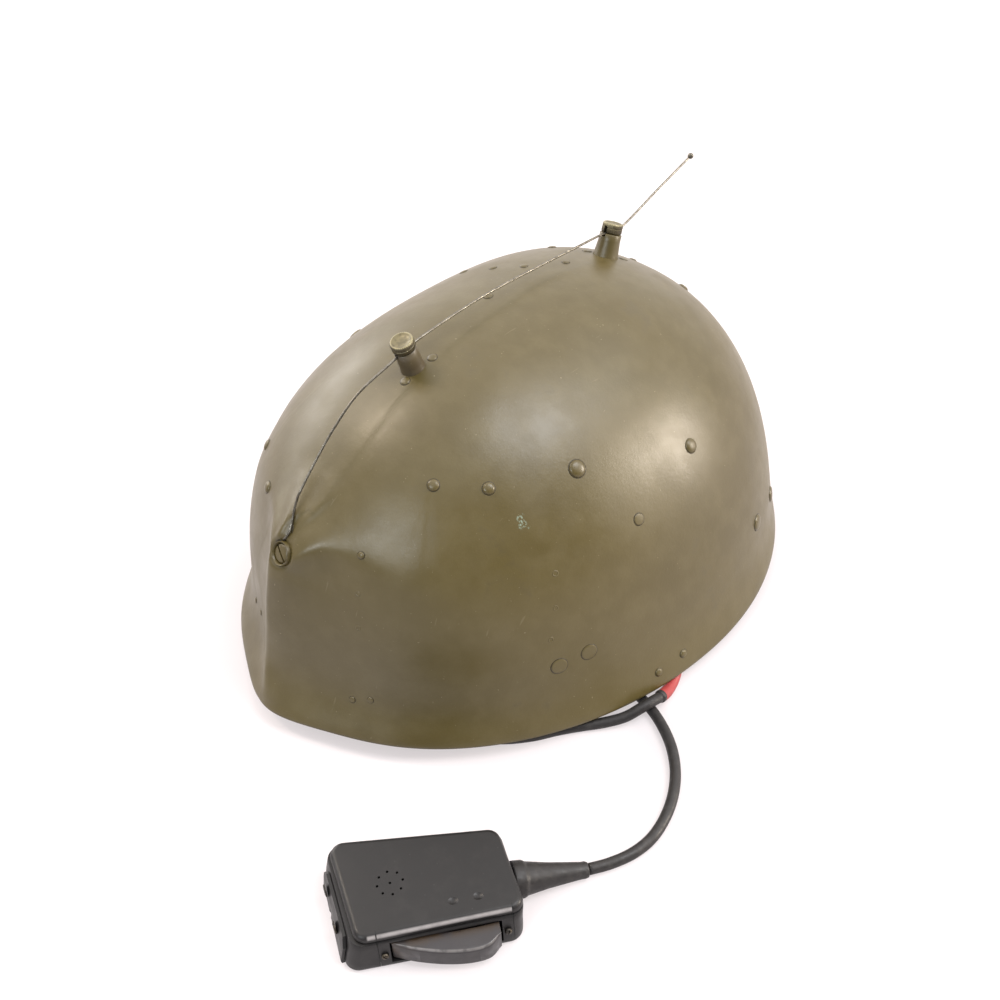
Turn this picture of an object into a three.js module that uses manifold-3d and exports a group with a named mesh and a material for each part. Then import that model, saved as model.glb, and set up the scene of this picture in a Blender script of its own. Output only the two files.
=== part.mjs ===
// Helmet of a radio operator, resting on a table beside its control box.
//
// Millimetres, +Z up. The table is z = 0, the brow faces -Y and the wearer's left is +X.
// The origin is the middle of the head opening, at the height of the table.
// The shell lies with its left rim on its own cable, so it rolls a little to the right.

import * as THREE from 'three';
import { mergeVertices } from 'three/addons/utils/BufferGeometryUtils.js';
import Module from 'manifold-3d';

const wasm = await Module();
wasm.setup();

const DEG = Math.PI / 180;
const GAP = 0.3;                    // air between touching pieces
const FACET_CLEAR = 0.04;           // more air under wider fasteners, per millimetre of radius

// Shell: an egg-shaped dome, measured at the rim, the side rim being height 0
const HALF_WIDTH = 115;
const FRONT_REACH = 146.3;
const REAR_REACH = 130.1;
const HEIGHT = 147.2;
const WALL = 2.2;
const ROUND_FRONT = 2.53;           // exponent of the profile: 2 is an ellipse, more is squarer
const ROUND_SIDE = 2.06;
const ROUND_REAR = 2.48;
const PLAN_FRONT_TOP = 2.27;        // exponent of the outline seen from above
const PLAN_FRONT_RIM = 2.09;
const PLAN_REAR = 2.14;
const PLAN_FADE = 55;
const RIM_RISE_FRONT = 5;
const RIM_RISE_QUARTER = 0.3;
const RIM_RISE_REAR = 9;
const FLARE_FRONT = 12.8;           // how far the skirt turns out at the rim
const FLARE_QUARTER = -1.9;
const FLARE_SIDE = 5.5;
const FLARE_REAR = 1.7;
const FLARE_HEIGHT = 12.8;
const KEEL_REACH = 9.7;             // the ridge down the middle of the brow
const KEEL_TOP = 83.5;
const KEEL_FADE = 16;
const KEEL_HALF_TOP = 17.6;
const KEEL_HALF_RIM = 26.4;
const CROWN_LEAN = 1.5;
const AROUND_STEPS = 60;
const UP_STEPS = 21;
const ROLL = 1.5 * DEG;

// Brow screw and antenna
const SCREW_UP = 0.555;
const SCREW_RADIUS = 5.4;
const SCREW_HEIGHT = 2.6;
const SCREW_SEAT = 0.4;
const SLOT_WIDTH = 1.1;
const SLOT_DEPTH = 1;
const SLOT_TURN = 54 * DEG;
const WIRE_RADIUS = 0.55;
const TIP_RADIUS = 1.5;
const TIP = { x: -9.2, y: 130.1, z: 162.3 };

// Posts that carry the wire, each square to the shell under it
const GROOVE_WIDTH = 1.8;
const CAP_HEIGHT = 4.8;
const POSTS = [
  { name: 'front_post', around: 0, up: 0.9525, foot: 4.9, stem: 4.5, height: 10.8, cap: 5.3, groove: 9, capSlot: 0 },
  {
    name: 'rear_post', around: -175, up: 0.9225, foot: 6, stem: 4.8, height: 10.4, cap: 4.9,
    groove: 8.9, capSlot: 3.2,
  },
];

// Fasteners: degrees from the front toward the wearer's left, share of the height, size
const FASTENERS = [
  { name: 'front_post_rivet_a', around: 2.35, up: 0.9365, radius: 2.1, height: 0.8 },
  { name: 'front_post_rivet_b', around: 3.6, up: 0.967, radius: 2.1, height: 0.8 },
  { name: 'rear_post_rivet_a', around: -166.4, up: 0.929, radius: 2.2, height: 0.9 },
  { name: 'rear_post_rivet_b', around: -179.6, up: 0.9, radius: 2.2, height: 0.9 },
  { name: 'brow_rivet_a', around: 29.8, up: 0.79, radius: 2.5, height: 1 },
  { name: 'brow_rivet_b', around: 45.4, up: 0.774, radius: 2.6, height: 1 },
  { name: 'brow_rivet_c', around: 15.8, up: 0.61, radius: 1.5, height: 0.6 },
  { name: 'temple_rivet_left_a', around: 70.4, up: 0.754, radius: 3.8, height: 1.3 },
  { name: 'temple_rivet_left_b', around: 100.6, up: 0.651, radius: 3.4, height: 1.3 },
  { name: 'temple_disc', around: 82, up: 0.571, radius: 2.6, height: 0.3 },
  { name: 'nape_rivet_left_a', around: 114.8, up: 0.234, radius: 4, height: 1 },
  { name: 'nape_rivet_left_b', around: 129.4, up: 0.172, radius: 4, height: 1 },
  { name: 'nape_rivet_middle', around: 169, up: 0.762, radius: 2.6, height: 1 },
  { name: 'cheek_disc_a', around: 60.2, up: 0.238, radius: 3.8, height: 0.5 },
  { name: 'cheek_disc_b', around: 66.4, up: 0.252, radius: 3.8, height: 0.5 },
  { name: 'clamp_rivet_a', around: 79.8, up: 0.056, radius: 2, height: 0.9 },
  { name: 'clamp_rivet_b', around: 85.6, up: 0.064, radius: 2, height: 0.9 },
  { name: 'skirt_rivet_left_a', around: 17.2, up: 0.116, radius: 1.4, height: 0.4 },
  { name: 'skirt_rivet_left_b', around: 21.2, up: 0.131, radius: 1.4, height: 0.4 },
  { name: 'skirt_rivet_right_a', around: -12.6, up: 0.186, radius: 1.4, height: 0.4 },
  { name: 'skirt_rivet_right_b', around: -18.4, up: 0.164, radius: 1.4, height: 0.4 },
  { name: 'brow_rivet_right_a', around: -18.8, up: 0.589, radius: 2.7, height: 1 },
  { name: 'brow_rivet_right_b', around: -36.4, up: 0.589, radius: 2.7, height: 1 },
  { name: 'temple_rivet_right_a', around: -70.4, up: 0.754, radius: 3.8, height: 1.3 },
  { name: 'temple_rivet_right_b', around: -100.6, up: 0.651, radius: 3.4, height: 1.3 },
  { name: 'nape_rivet_right_a', around: -114.8, up: 0.234, radius: 4, height: 1 },
  { name: 'nape_rivet_right_b', around: -129.4, up: 0.172, radius: 4, height: 1 },
  { name: 'crown_rivet_a', around: -53.6, up: 0.9975, radius: 2.4, height: 0.8 },
  { name: 'crown_rivet_b', around: -100.6, up: 0.908, radius: 2.2, height: 0.8 },
  { name: 'crown_rivet_c', around: -111, up: 0.965, radius: 2, height: 0.8 },
  { name: 'crown_rivet_d', around: -137.8, up: 0.986, radius: 2, height: 0.8 },
  { name: 'crown_rivet_e', around: -146.8, up: 0.91, radius: 2.2, height: 0.8 },
  { name: 'crown_rivet_f', around: -170.2, up: 0.979, radius: 2, height: 0.8 },
  { name: 'crown_rivet_g', around: -176.2, up: 0.84, radius: 2, height: 0.8 },
];

// Clamp plate inside the left rim, which the cable's ferrule is fixed to
const CLAMP = { from: 76, to: 92, low: 0.035, high: 0.1, clear: 0.9, thick: 2.2 };

// Cable: one route from the ferrule inside the rim, over itself, to the control box
const CABLE_RADIUS = 2.5;
const CABLE_SIDES = 10;
const CABLE_STEP = 6.5;
const FERRULE_LENGTH = 18.5;
const FERRULE_BACK_RADIUS = 4;
const FERRULE_FRONT_RADIUS = 2.8;
const SLEEVE_LENGTH = 22.8;
const SLEEVE_TO_CABLE = 0.7;
const SLEEVE_RADIUS = 2.9;
const CABLE_ROUTE = [
  [105.2, 2.2, 12.4], [107.6, -2.6, 10.2], [110.6, -7.4, 7.4], [113.8, -12.4, 4.7],
  [116.9, -17.6, 3.1], [119.2, -22.8, 3], [120.8, -28, 4], [121.8, -33.4, 6.1],
  [121.9, -39, 7.8], [120.6, -45, 7.2], [117.6, -52.2, 4.6], [112.2, -60.6, 3.1],
  [105.9, -69, 2.5], [100.4, -77.6, 2.5], [94, -89, 2.5], [84, -101, 2.5], [70, -109.6, 2.5],
  [54, -112.4, 2.5], [37.6, -108.6, 2.5], [24.4, -98.6, 2.5], [16.8, -84, 2.5], [16.8, -67, 2.5],
  [24.4, -51.6, 2.5], [38.6, -40.4, 2.5], [56, -34.8, 2.5], [76, -33.6, 2.5], [98, -35.4, 2.5],
  [121, -39.2, 2.5], [132.6, -43.4, 2.5], [144.3, -50.4, 2.5], [154.9, -60.8, 2.5],
  [163, -74.2, 2.5], [167.4, -89.4, 2.5], [166.9, -101, 2.5], [163.4, -112, 2.7],
  [159.6, -120.1, 3.4],
];

// Control box, in its own frame: x runs along the box to the cable, z = 0 is its flat back
const BOX_PLACE = { x: 124.4, y: -176.3, turn: 55 * DEG };
const BOX_CORNERS = [[-29.5, -21.9], [36.8, -18], [30.6, 18.5], [-38.2, 23]];
const BASE_CORNERS = [[-34.8, -24.7], [36.2, -21.8], [32.6, 20.2], [-42, 25.2]];
const BOX_CORNER_RADIUS = 5;
const BOX_CORNER_STEPS = 4;
const BOX_HEIGHT = 20;
const LID_SEAM = 16;
const HOUSING_LEVELS = [
  { z: 0, out: -1.6, base: 1 }, { z: 0.9, out: -0.4, base: 1 }, { z: 2.4, out: 0, base: 1 },
  { z: 9, out: 0.1, base: 0.75 }, { z: LID_SEAM, out: 0.5, base: 0.3 },
];
const LID_LEVELS = [
  { z: LID_SEAM + GAP, out: 0.5, base: 0 }, { z: 18.4, out: 0.3, base: 0 },
  { z: 19.5, out: -0.5, base: 0 }, { z: BOX_HEIGHT, out: -1.7, base: 0 },
];
const SOUND_HOLE = { x: -14.5, y: 0.4, ring: 5.2, count: 8, turn: 7.5 * DEG, radius: 0.55, depth: 1.5 };

// Near side of the box: the recess, its plate and the talk lever, along that side's edge
const SIDE_DEPTH = 3;
const SIDE_FROM = -21.8;
const SIDE_TO = 31.6;
const PLATE_LOW = 0.6;
const WINDOW = { from: -17.2, to: 27, low: 3.2, high: 15.2 };
const SIDE_SCREWS = [{ along: -19.5, out: 2.65, high: 8.4 }, { along: 29.1, out: 3.4, high: 9.2 }];
const SIDE_SCREW_RADIUS = 1.5;
const LEVER_LOW = 4;
const LEVER_HIGH = 14.1;
const LEVER_BOW = [[-16.4, -1.3], [-8, -5.4], [4, -9.3], [14, -10.8], [21, -10], [25.8, -6]];
const LEVER_BACK = [[25.8, -1.3], [18, -1.6], [4, -1.1], [-11.6, 1.9], [-15.4, 2.1], [-16.6, 0.8]];
const PIN = { x: -14.3, y: 0.3, radius: 0.8, clearance: 0.35 };

// Left end of the box: a plate held by two screws
const END_PLATE = { from: 6.8, to: 42.4, low: 1, high: 14, thick: 1.3, edge: 3.2 };
const END_SCREWS = [{ along: 14.2, out: 5.6, high: 9.2 }, { along: 31.4, out: 6.05, high: 9.2 }];
const END_SCREW_RADIUS = 2.6;
const END_NOTCH = { at: 21, width: 3, depth: 3.4 };

// Strain relief: a cone from the box down to the cable
const RELIEF_FROM = new THREE.Vector3(31, 0.2, 9);
const RELIEF_TO = new THREE.Vector3(65.5, 3.2, 3.5);
const RELIEF_PROFILE = [
  { along: 0, radius: 7.6 }, { along: 7.6, radius: 7.6 }, { along: 8.8, radius: 6.8 },
  { along: 18, radius: 5.2 }, { along: 27, radius: 4.1 }, { along: 35, radius: 3.2 },
];

// Colours by eye
const OLIVE = new THREE.MeshStandardMaterial({ color: 0x6c6347, roughness: 0.5, metalness: 0.1 });
const STEEL = new THREE.MeshStandardMaterial({ color: 0x8a8a84, roughness: 0.4, metalness: 0.9 });
const BRASS = new THREE.MeshStandardMaterial({ color: 0x857a52, roughness: 0.6, metalness: 0.5 });
const RUBBER = new THREE.MeshStandardMaterial({ color: 0x2c2927, roughness: 0.6, metalness: 0 });
const RED = new THREE.MeshStandardMaterial({ color: 0xc8383c, roughness: 0.5, metalness: 0 });
const PLASTIC = new THREE.MeshStandardMaterial({ color: 0x242323, roughness: 0.45, metalness: 0 });
const LEVER_FINISH = new THREE.MeshStandardMaterial({ color: 0x3a332a, roughness: 0.5, metalness: 0.3 });

const helmet = new THREE.Group();
helmet.rotation.y = -ROLL;
helmet.position.z = (HALF_WIDTH + FLARE_SIDE) * Math.sin(ROLL);

const cableGroup = new THREE.Group();

const controlBox = new THREE.Group();
controlBox.position.set(BOX_PLACE.x, BOX_PLACE.y, 0);
controlBox.rotation.z = BOX_PLACE.turn;

const radioHelmet = new THREE.Group();
radioHelmet.add(helmet, cableGroup, controlBox);

function piece(group, name, geometry, material) {
  const mesh = new THREE.Mesh(geometry, material);
  mesh.name = name;
  group.add(mesh);
  return mesh;
}

// A geometry as a solid that can be joined and cut, and back
function toSolid(geometry) {
  const bare = geometry.clone();
  bare.deleteAttribute('normal');
  bare.deleteAttribute('uv');
  const merged = mergeVertices(bare, 1e-4);
  return new wasm.Manifold(new wasm.Mesh({
    numProp: 3,
    vertProperties: Float32Array.from(merged.attributes.position.array),
    triVerts: Uint32Array.from(merged.index.array),
  }));
}

function toGeometry(solid) {
  const mesh = solid.getMesh();
  const geometry = new THREE.BufferGeometry();
  geometry.setAttribute('position', new THREE.BufferAttribute(mesh.vertProperties, 3));
  geometry.setIndex(new THREE.BufferAttribute(mesh.triVerts, 1));
  return geometry;
}

function fromTriangles(points, triangles) {
  const geometry = new THREE.BufferGeometry().setFromPoints(points);
  geometry.setIndex(triangles);
  return geometry;
}

function block(fromX, toX, fromY, toY, fromZ, toZ) {
  const geometry = new THREE.BoxGeometry(toX - fromX, toY - fromY, toZ - fromZ);
  return geometry.translate((fromX + toX) / 2, (fromY + toY) / 2, (fromZ + toZ) / 2);
}

// A turned solid standing on the origin along +Z
function turned(profile, sides) {
  const points = profile.map(([radius, height]) => new THREE.Vector2(radius, height));
  return new THREE.LatheGeometry(points, sides).rotateX(Math.PI / 2);
}

// Turn a geometry that stands along +Z to stand along a direction, at a place
function stand(geometry, place, direction) {
  const turn = new THREE.Quaternion().setFromUnitVectors(new THREE.Vector3(0, 0, 1), direction);
  return geometry.applyQuaternion(turn).translate(place.x, place.y, place.z);
}

// Outer surface of the shell; around in degrees from the front, up from 0 at the rim to 1
function shellPoint(around, up) {
  const cos = Math.cos(around * DEG);
  const sin = Math.sin(around * DEG);
  const isFront = cos > 0;
  const front = isFront ? cos * cos : 0;
  const rear = isFront ? 0 : cos * cos;
  const side = sin * sin;
  const quarter = isFront ? 4 * front * side : 0;
  const rearRise = isFront ? 0 : RIM_RISE_REAR * (-cos) ** 1.5;
  const rim = rearRise + RIM_RISE_FRONT * front + RIM_RISE_QUARTER * quarter;
  const z = rim + (HEIGHT - rim) * up;
  const planFront = PLAN_FRONT_TOP + (PLAN_FRONT_RIM - PLAN_FRONT_TOP) * Math.exp(-((z / PLAN_FADE) ** 2));
  const plan = isFront ? planFront : PLAN_REAR;
  const cosPlan = Math.sign(cos) * Math.abs(cos) ** (2 / plan);
  const sinPlan = Math.sign(sin) * Math.abs(sin) ** (2 / plan);
  const round = ROUND_FRONT * front + ROUND_SIDE * side + ROUND_REAR * rear;
  const narrow = Math.max(0, 1 - up ** round) ** (1 / round);
  const flareHere = FLARE_FRONT * front + FLARE_QUARTER * quarter + FLARE_SIDE * side + FLARE_REAR * rear;
  const flare = flareHere * Math.exp(-(((z - rim) / FLARE_HEIGHT) ** 1.5));
  const reach = isFront ? FRONT_REACH : REAR_REACH;
  const x = HALF_WIDTH * narrow * sinPlan + flare * sin;
  const keelUp = Math.exp(-(((z - KEEL_TOP) / KEEL_FADE) ** 2));
  const keelShare = z > KEEL_TOP ? keelUp : 0.75 + 0.25 * keelUp;
  const keelHalf = KEEL_HALF_TOP + (KEEL_HALF_RIM - KEEL_HALF_TOP) * Math.max(0, 1 - z / KEEL_TOP);
  const keel = isFront ? KEEL_REACH * keelShare * Math.exp(-((x / keelHalf) ** 2)) : 0;
  const y = -reach * narrow * cosPlan - flare * cos + CROWN_LEAN * (z / HEIGHT) - keel;
  return new THREE.Vector3(x, y, z);
}

function shellNormal(around, up) {
  if (up > 0.9999) {
    return new THREE.Vector3(0, 0, 1);
  }
  const turn = 0.4;
  const rise = 0.002;
  const low = Math.max(0, up - rise);
  const high = Math.min(0.9999, up + rise);
  const across = shellPoint(around + turn, up).sub(shellPoint(around - turn, up));
  const along = shellPoint(around, high).sub(shellPoint(around, low));
  return across.cross(along).normalize();
}

// A point of the shell moved in by a depth, level near the rim so that its edge stays flat
function insidePoint(around, up, depth) {
  const normal = shellNormal(around, up);
  normal.z *= Math.min(1, up / 0.12);
  return shellPoint(around, up).addScaledVector(normal.normalize(), -depth);
}

function shellGeometry() {
  const points = [];
  const triangles = [];
  const surfaces = [
    (around, up) => shellPoint(around, up),
    (around, up) => insidePoint(around, up, WALL),
  ];
  surfaces.forEach((surface, inner) => {
    const first = points.length;
    for (let j = 0; j < UP_STEPS; j += 1) {
      const up = Math.sin((Math.PI / 2) * (j / UP_STEPS));
      for (let i = 0; i < AROUND_STEPS; i += 1) {
        points.push(surface((i * 360) / AROUND_STEPS, up));
      }
    }
    points.push(surface(0, 1));
    const top = points.length - 1;
    for (let i = 0; i < AROUND_STEPS; i += 1) {
      const next = (i + 1) % AROUND_STEPS;
      for (let j = 0; j < UP_STEPS - 1; j += 1) {
        const a = first + j * AROUND_STEPS + i;
        const b = first + j * AROUND_STEPS + next;
        const c = b + AROUND_STEPS;
        const d = a + AROUND_STEPS;
        triangles.push(...(inner ? [a, c, b, a, d, c] : [a, b, c, a, c, d]));
      }
      const a = first + (UP_STEPS - 1) * AROUND_STEPS + i;
      const b = first + (UP_STEPS - 1) * AROUND_STEPS + next;
      triangles.push(...(inner ? [a, top, b] : [a, b, top]));
    }
  });
  const innerFirst = AROUND_STEPS * UP_STEPS + 1;
  for (let i = 0; i < AROUND_STEPS; i += 1) {
    const next = (i + 1) % AROUND_STEPS;
    triangles.push(i, innerFirst + i, innerFirst + next, i, innerFirst + next, next);
  }
  return fromTriangles(points, triangles);
}

// A point on the flat facets of the shell, where a fastener really meets it
function facetPoint(around, up) {
  const column = ((around + 360) % 360) / (360 / AROUND_STEPS);
  const row = Math.min(UP_STEPS - 1.001, Math.asin(up) / (Math.PI / 2 / UP_STEPS));
  const i = Math.floor(column);
  const j = Math.floor(row);
  const corner = (di, dj) => shellPoint(
    ((i + di) * 360) / AROUND_STEPS, Math.sin((Math.PI / 2) * ((j + dj) / UP_STEPS)));
  const low = Math.sin((Math.PI / 2) * (j / UP_STEPS));
  const high = Math.sin((Math.PI / 2) * ((j + 1) / UP_STEPS));
  const u = column - i;
  const v = Math.min(1, (up - low) / (high - low));
  const a = corner(0, 0);
  const c = corner(1, 1);
  if (v <= u) {
    const b = corner(1, 0);
    return a.addScaledVector(b.clone().sub(a), u).addScaledVector(c.sub(b), v);
  }
  const d = corner(0, 1);
  return a.addScaledVector(d.clone().sub(a), v).addScaledVector(c.sub(d), u);
}

// A low dome that sits on the shell
function domeProfile(radius, height) {
  return [[0, 0], [radius, 0], [radius * 0.8, height * 0.75], [0, height]];
}

function addFastener(name, around, up, radius, height) {
  const normal = shellNormal(around, up);
  const place = facetPoint(around, up).addScaledVector(normal, GAP + radius * FACET_CLEAR);
  piece(helmet, name, stand(turned(domeProfile(radius, height), 10), place, normal), OLIVE);
}

function addBrowScrew() {
  const normal = shellNormal(0, SCREW_UP);
  const place = shellPoint(0, SCREW_UP).addScaledVector(normal, SCREW_SEAT);
  const profile = [
    [0, 0], [SCREW_RADIUS, 0], [SCREW_RADIUS, 1.7], [SCREW_RADIUS - 1, SCREW_HEIGHT], [0, SCREW_HEIGHT],
  ];
  const head = toSolid(turned(profile, 24));
  const slot = block(-SLOT_WIDTH / 2, SLOT_WIDTH / 2, -9, 9, SCREW_HEIGHT - SLOT_DEPTH, 5);
  const cut = toGeometry(head.subtract(toSolid(slot.rotateZ(SLOT_TURN))));
  piece(helmet, 'brow_screw', stand(cut, place, normal), OLIVE);
}

function postFrame(post) {
  const normal = shellNormal(post.around, post.up);
  const foot = facetPoint(post.around, post.up).addScaledVector(normal, GAP + post.foot * FACET_CLEAR);
  return { normal, foot };
}

function addPost(post) {
  const { normal, foot } = postFrame(post);
  const bodyProfile = [
    [0, 0], [post.foot, 0], [post.foot, 1.2], [(post.foot + post.stem) / 2, 3.4],
    [post.stem, 7], [post.stem, post.height], [0, post.height],
  ];
  const groove = block(-GROOVE_WIDTH / 2, GROOVE_WIDTH / 2, -9, 9, post.groove, 20);
  const body = toGeometry(toSolid(turned(bodyProfile, 16)).subtract(toSolid(groove)));
  piece(helmet, `${post.name}_body`, stand(body, foot, normal), OLIVE);

  const low = post.height + GAP;
  const high = low + CAP_HEIGHT;
  const capProfile = [
    [0, low], [post.cap - 0.5, low], [post.cap, low + 0.5], [post.cap, high - 0.9],
    [post.cap - 1, high], [0, high],
  ];
  let cap = toSolid(turned(capProfile, 16));
  if (post.capSlot > 0) {
    const slot = block(-GROOVE_WIDTH / 2, GROOVE_WIDTH / 2, -9, 9, low - 1, low + post.capSlot);
    cap = cap.subtract(toSolid(slot));
  }
  piece(helmet, `${post.name}_cap`, stand(toGeometry(cap), foot, normal), BRASS);
}

// Stretch of a curve between two distances along it, as a curve of its own
function stretch(curve, from, to, step) {
  const length = curve.getLength();
  const count = Math.max(2, Math.round((to - from) / step));
  const points = [];
  for (let i = 0; i <= count; i += 1) {
    points.push(curve.getPointAt((from + ((to - from) * i) / count) / length));
  }
  return new THREE.CatmullRomCurve3(points, false, 'centripetal');
}

function tube(curve, radius, sides, steps) {
  const section = new THREE.Shape();
  for (let i = 0; i < sides; i += 1) {
    const turn = (i * 2 * Math.PI) / sides;
    const corner = [radius * Math.cos(turn), radius * Math.sin(turn)];
    if (i === 0) {
      section.moveTo(...corner);
    } else {
      section.lineTo(...corner);
    }
  }
  return new THREE.ExtrudeGeometry(section, { extrudePath: curve, steps, bevelEnabled: false });
}

// The wire leaves the brow screw, lies in both posts and ends in a small ball
function addAntenna() {
  const [front, rear] = POSTS.map(postFrame);
  const upward = new THREE.Vector3(0, 0, 1);
  const through = ({ normal, foot }, height, back) => new THREE.Vector3(0, back, height)
    .applyQuaternion(new THREE.Quaternion().setFromUnitVectors(upward, normal))
    .add(foot);
  const points = [
    new THREE.Vector3(0, -141.2, 91),
    new THREE.Vector3(0, -136.6, 99.6),
    new THREE.Vector3(0, -128.9, 108.8),
    new THREE.Vector3(0, -118.2, 120.2),
    new THREE.Vector3(0, -105.3, 132.2),
    new THREE.Vector3(0, -91.2, 142),
    through(front, 9.8, -10),
    through(front, 9.9, -4),
    through(front, 9.9, 4),
    new THREE.Vector3(-1, -39.2, 153.3),
    new THREE.Vector3(-2.2, -14.1, 154),
    new THREE.Vector3(-4, 23.2, 151.9),
    new THREE.Vector3(-5.2, 47.3, 150.1),
    through(rear, 10.1, -5.2),
    through(rear, 11, 0),
    through(rear, 12.6, 5.2),
    new THREE.Vector3(-8.1, 107.6, 155.6),
    new THREE.Vector3(TIP.x, TIP.y, TIP.z),
  ];
  const curve = new THREE.CatmullRomCurve3(points, false, 'centripetal');
  piece(helmet, 'antenna_wire', tube(curve, WIRE_RADIUS, 6, 56), STEEL);
  const end = curve.getTangentAt(1);
  const centre = curve.getPointAt(1).addScaledVector(end, TIP_RADIUS + GAP);
  const ball = new THREE.SphereGeometry(TIP_RADIUS, 10, 8).translate(centre.x, centre.y, centre.z);
  piece(helmet, 'antenna_tip', ball, STEEL);
}

// A plate against the inside of the wall
function addClamp() {
  const columns = 6;
  const rows = 2;
  const points = [];
  [WALL + CLAMP.clear, WALL + CLAMP.clear + CLAMP.thick].forEach((depth) => {
    for (let j = 0; j <= rows; j += 1) {
      for (let i = 0; i <= columns; i += 1) {
        const around = CLAMP.from + ((CLAMP.to - CLAMP.from) * i) / columns;
        const up = CLAMP.low + ((CLAMP.high - CLAMP.low) * j) / rows;
        points.push(insidePoint(around, up, depth));
      }
    }
  });
  const perFace = (rows + 1) * (columns + 1);
  const at = (face, i, j) => face * perFace + j * (columns + 1) + i;
  const triangles = [];
  const quad = (a, b, c, d) => triangles.push(a, b, c, a, c, d);
  for (let i = 0; i < columns; i += 1) {
    for (let j = 0; j < rows; j += 1) {
      quad(at(0, i, j), at(0, i + 1, j), at(0, i + 1, j + 1), at(0, i, j + 1));
      quad(at(1, i, j), at(1, i, j + 1), at(1, i + 1, j + 1), at(1, i + 1, j));
    }
    quad(at(0, i, 0), at(1, i, 0), at(1, i + 1, 0), at(0, i + 1, 0));
    quad(at(0, i, rows), at(0, i + 1, rows), at(1, i + 1, rows), at(1, i, rows));
  }
  for (let j = 0; j < rows; j += 1) {
    quad(at(0, 0, j), at(0, 0, j + 1), at(1, 0, j + 1), at(1, 0, j));
    quad(at(0, columns, j), at(1, columns, j), at(1, columns, j + 1), at(0, columns, j + 1));
  }
  piece(helmet, 'cable_clamp', fromTriangles(points, triangles), STEEL);
}

// Ferrule, red sleeve and cable, end to end along one route
function addCable() {
  const route = new THREE.CatmullRomCurve3(
    CABLE_ROUTE.map((point) => new THREE.Vector3(...point)), false, 'centripetal');
  const length = route.getLength();
  const start = route.getPointAt(0);
  const bore = route.getPointAt(FERRULE_LENGTH / length);
  const axis = bore.clone().sub(start);
  const reach = axis.length();
  const profile = [
    [0, 0], [FERRULE_BACK_RADIUS, 0], [FERRULE_BACK_RADIUS, reach * 0.3],
    [FERRULE_FRONT_RADIUS, reach * 0.55], [FERRULE_FRONT_RADIUS, reach - GAP], [0, reach - GAP],
  ];
  piece(cableGroup, 'cable_ferrule', stand(turned(profile, 12), start, axis.normalize()), STEEL);

  const sleeveEnd = FERRULE_LENGTH + SLEEVE_LENGTH;
  const sleeve = stretch(route, FERRULE_LENGTH + GAP, sleeveEnd, 2.5);
  piece(cableGroup, 'red_sleeve', tube(sleeve, SLEEVE_RADIUS, CABLE_SIDES, 6), RED);

  const steps = Math.round((length - sleeveEnd) / CABLE_STEP);
  const cable = stretch(route, sleeveEnd + SLEEVE_TO_CABLE, length, CABLE_STEP / 2);
  piece(cableGroup, 'cable', tube(cable, CABLE_RADIUS, CABLE_SIDES, steps), RUBBER);
}

// Corners moved out by a distance, each edge staying parallel to itself
function movedOut(corners, distance) {
  return corners.map((corner, i) => {
    const before = corners[(i + corners.length - 1) % corners.length];
    const after = corners[(i + 1) % corners.length];
    const arrive = new THREE.Vector2(corner[0] - before[0], corner[1] - before[1]).normalize();
    const leave = new THREE.Vector2(after[0] - corner[0], after[1] - corner[1]).normalize();
    const outArrive = new THREE.Vector2(arrive.y, -arrive.x);
    const outLeave = new THREE.Vector2(leave.y, -leave.x);
    const both = outArrive.clone().add(outLeave);
    const scale = distance / (1 + outArrive.dot(outLeave));
    return [corner[0] + both.x * scale, corner[1] + both.y * scale];
  });
}

// Outline with an arc at each corner
function roundedOutline(corners, radius) {
  const outline = [];
  corners.forEach((corner, i) => {
    const here = new THREE.Vector2(...corner);
    const before = new THREE.Vector2(...corners[(i + corners.length - 1) % corners.length]);
    const after = new THREE.Vector2(...corners[(i + 1) % corners.length]);
    const toBefore = before.clone().sub(here).normalize();
    const toAfter = after.clone().sub(here).normalize();
    const half = Math.acos(toBefore.dot(toAfter)) / 2;
    const start = here.clone().addScaledVector(toBefore, radius / Math.tan(half));
    const centre = here.clone().add(
      toBefore.clone().add(toAfter).normalize().multiplyScalar(radius / Math.sin(half)));
    const sweep = Math.PI - 2 * half;
    for (let k = 0; k <= BOX_CORNER_STEPS; k += 1) {
      const spoke = start.clone().sub(centre);
      spoke.rotateAround(new THREE.Vector2(), (sweep * k) / BOX_CORNER_STEPS);
      outline.push(centre.clone().add(spoke));
    }
  });
  return outline;
}

// A closed body through the box's outline at several heights
function boxLoft(levels, extra = 0) {
  const rings = levels.map((level) => {
    const out = level.out + extra;
    const corners = BOX_CORNERS.map(([x, y], i) => [
      x + (BASE_CORNERS[i][0] - x) * level.base, y + (BASE_CORNERS[i][1] - y) * level.base,
    ]);
    const outline = roundedOutline(movedOut(corners, out), BOX_CORNER_RADIUS + level.base + out);
    return outline.map((point) => new THREE.Vector3(point.x, point.y, level.z));
  });
  const count = rings[0].length;
  const points = rings.flat();
  const lowCentre = points.push(new THREE.Vector3(0, 0, levels[0].z)) - 1;
  const highCentre = points.push(new THREE.Vector3(0, 0, levels[levels.length - 1].z)) - 1;
  const triangles = [];
  for (let i = 0; i < count; i += 1) {
    const next = (i + 1) % count;
    for (let j = 0; j < rings.length - 1; j += 1) {
      const a = j * count + i;
      const b = j * count + next;
      triangles.push(a, b, b + count, a, b + count, a + count);
    }
    const last = (rings.length - 1) * count;
    triangles.push(lowCentre, next, i, highCentre, last + i, last + next);
  }
  return fromTriangles(points, triangles);
}

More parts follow.
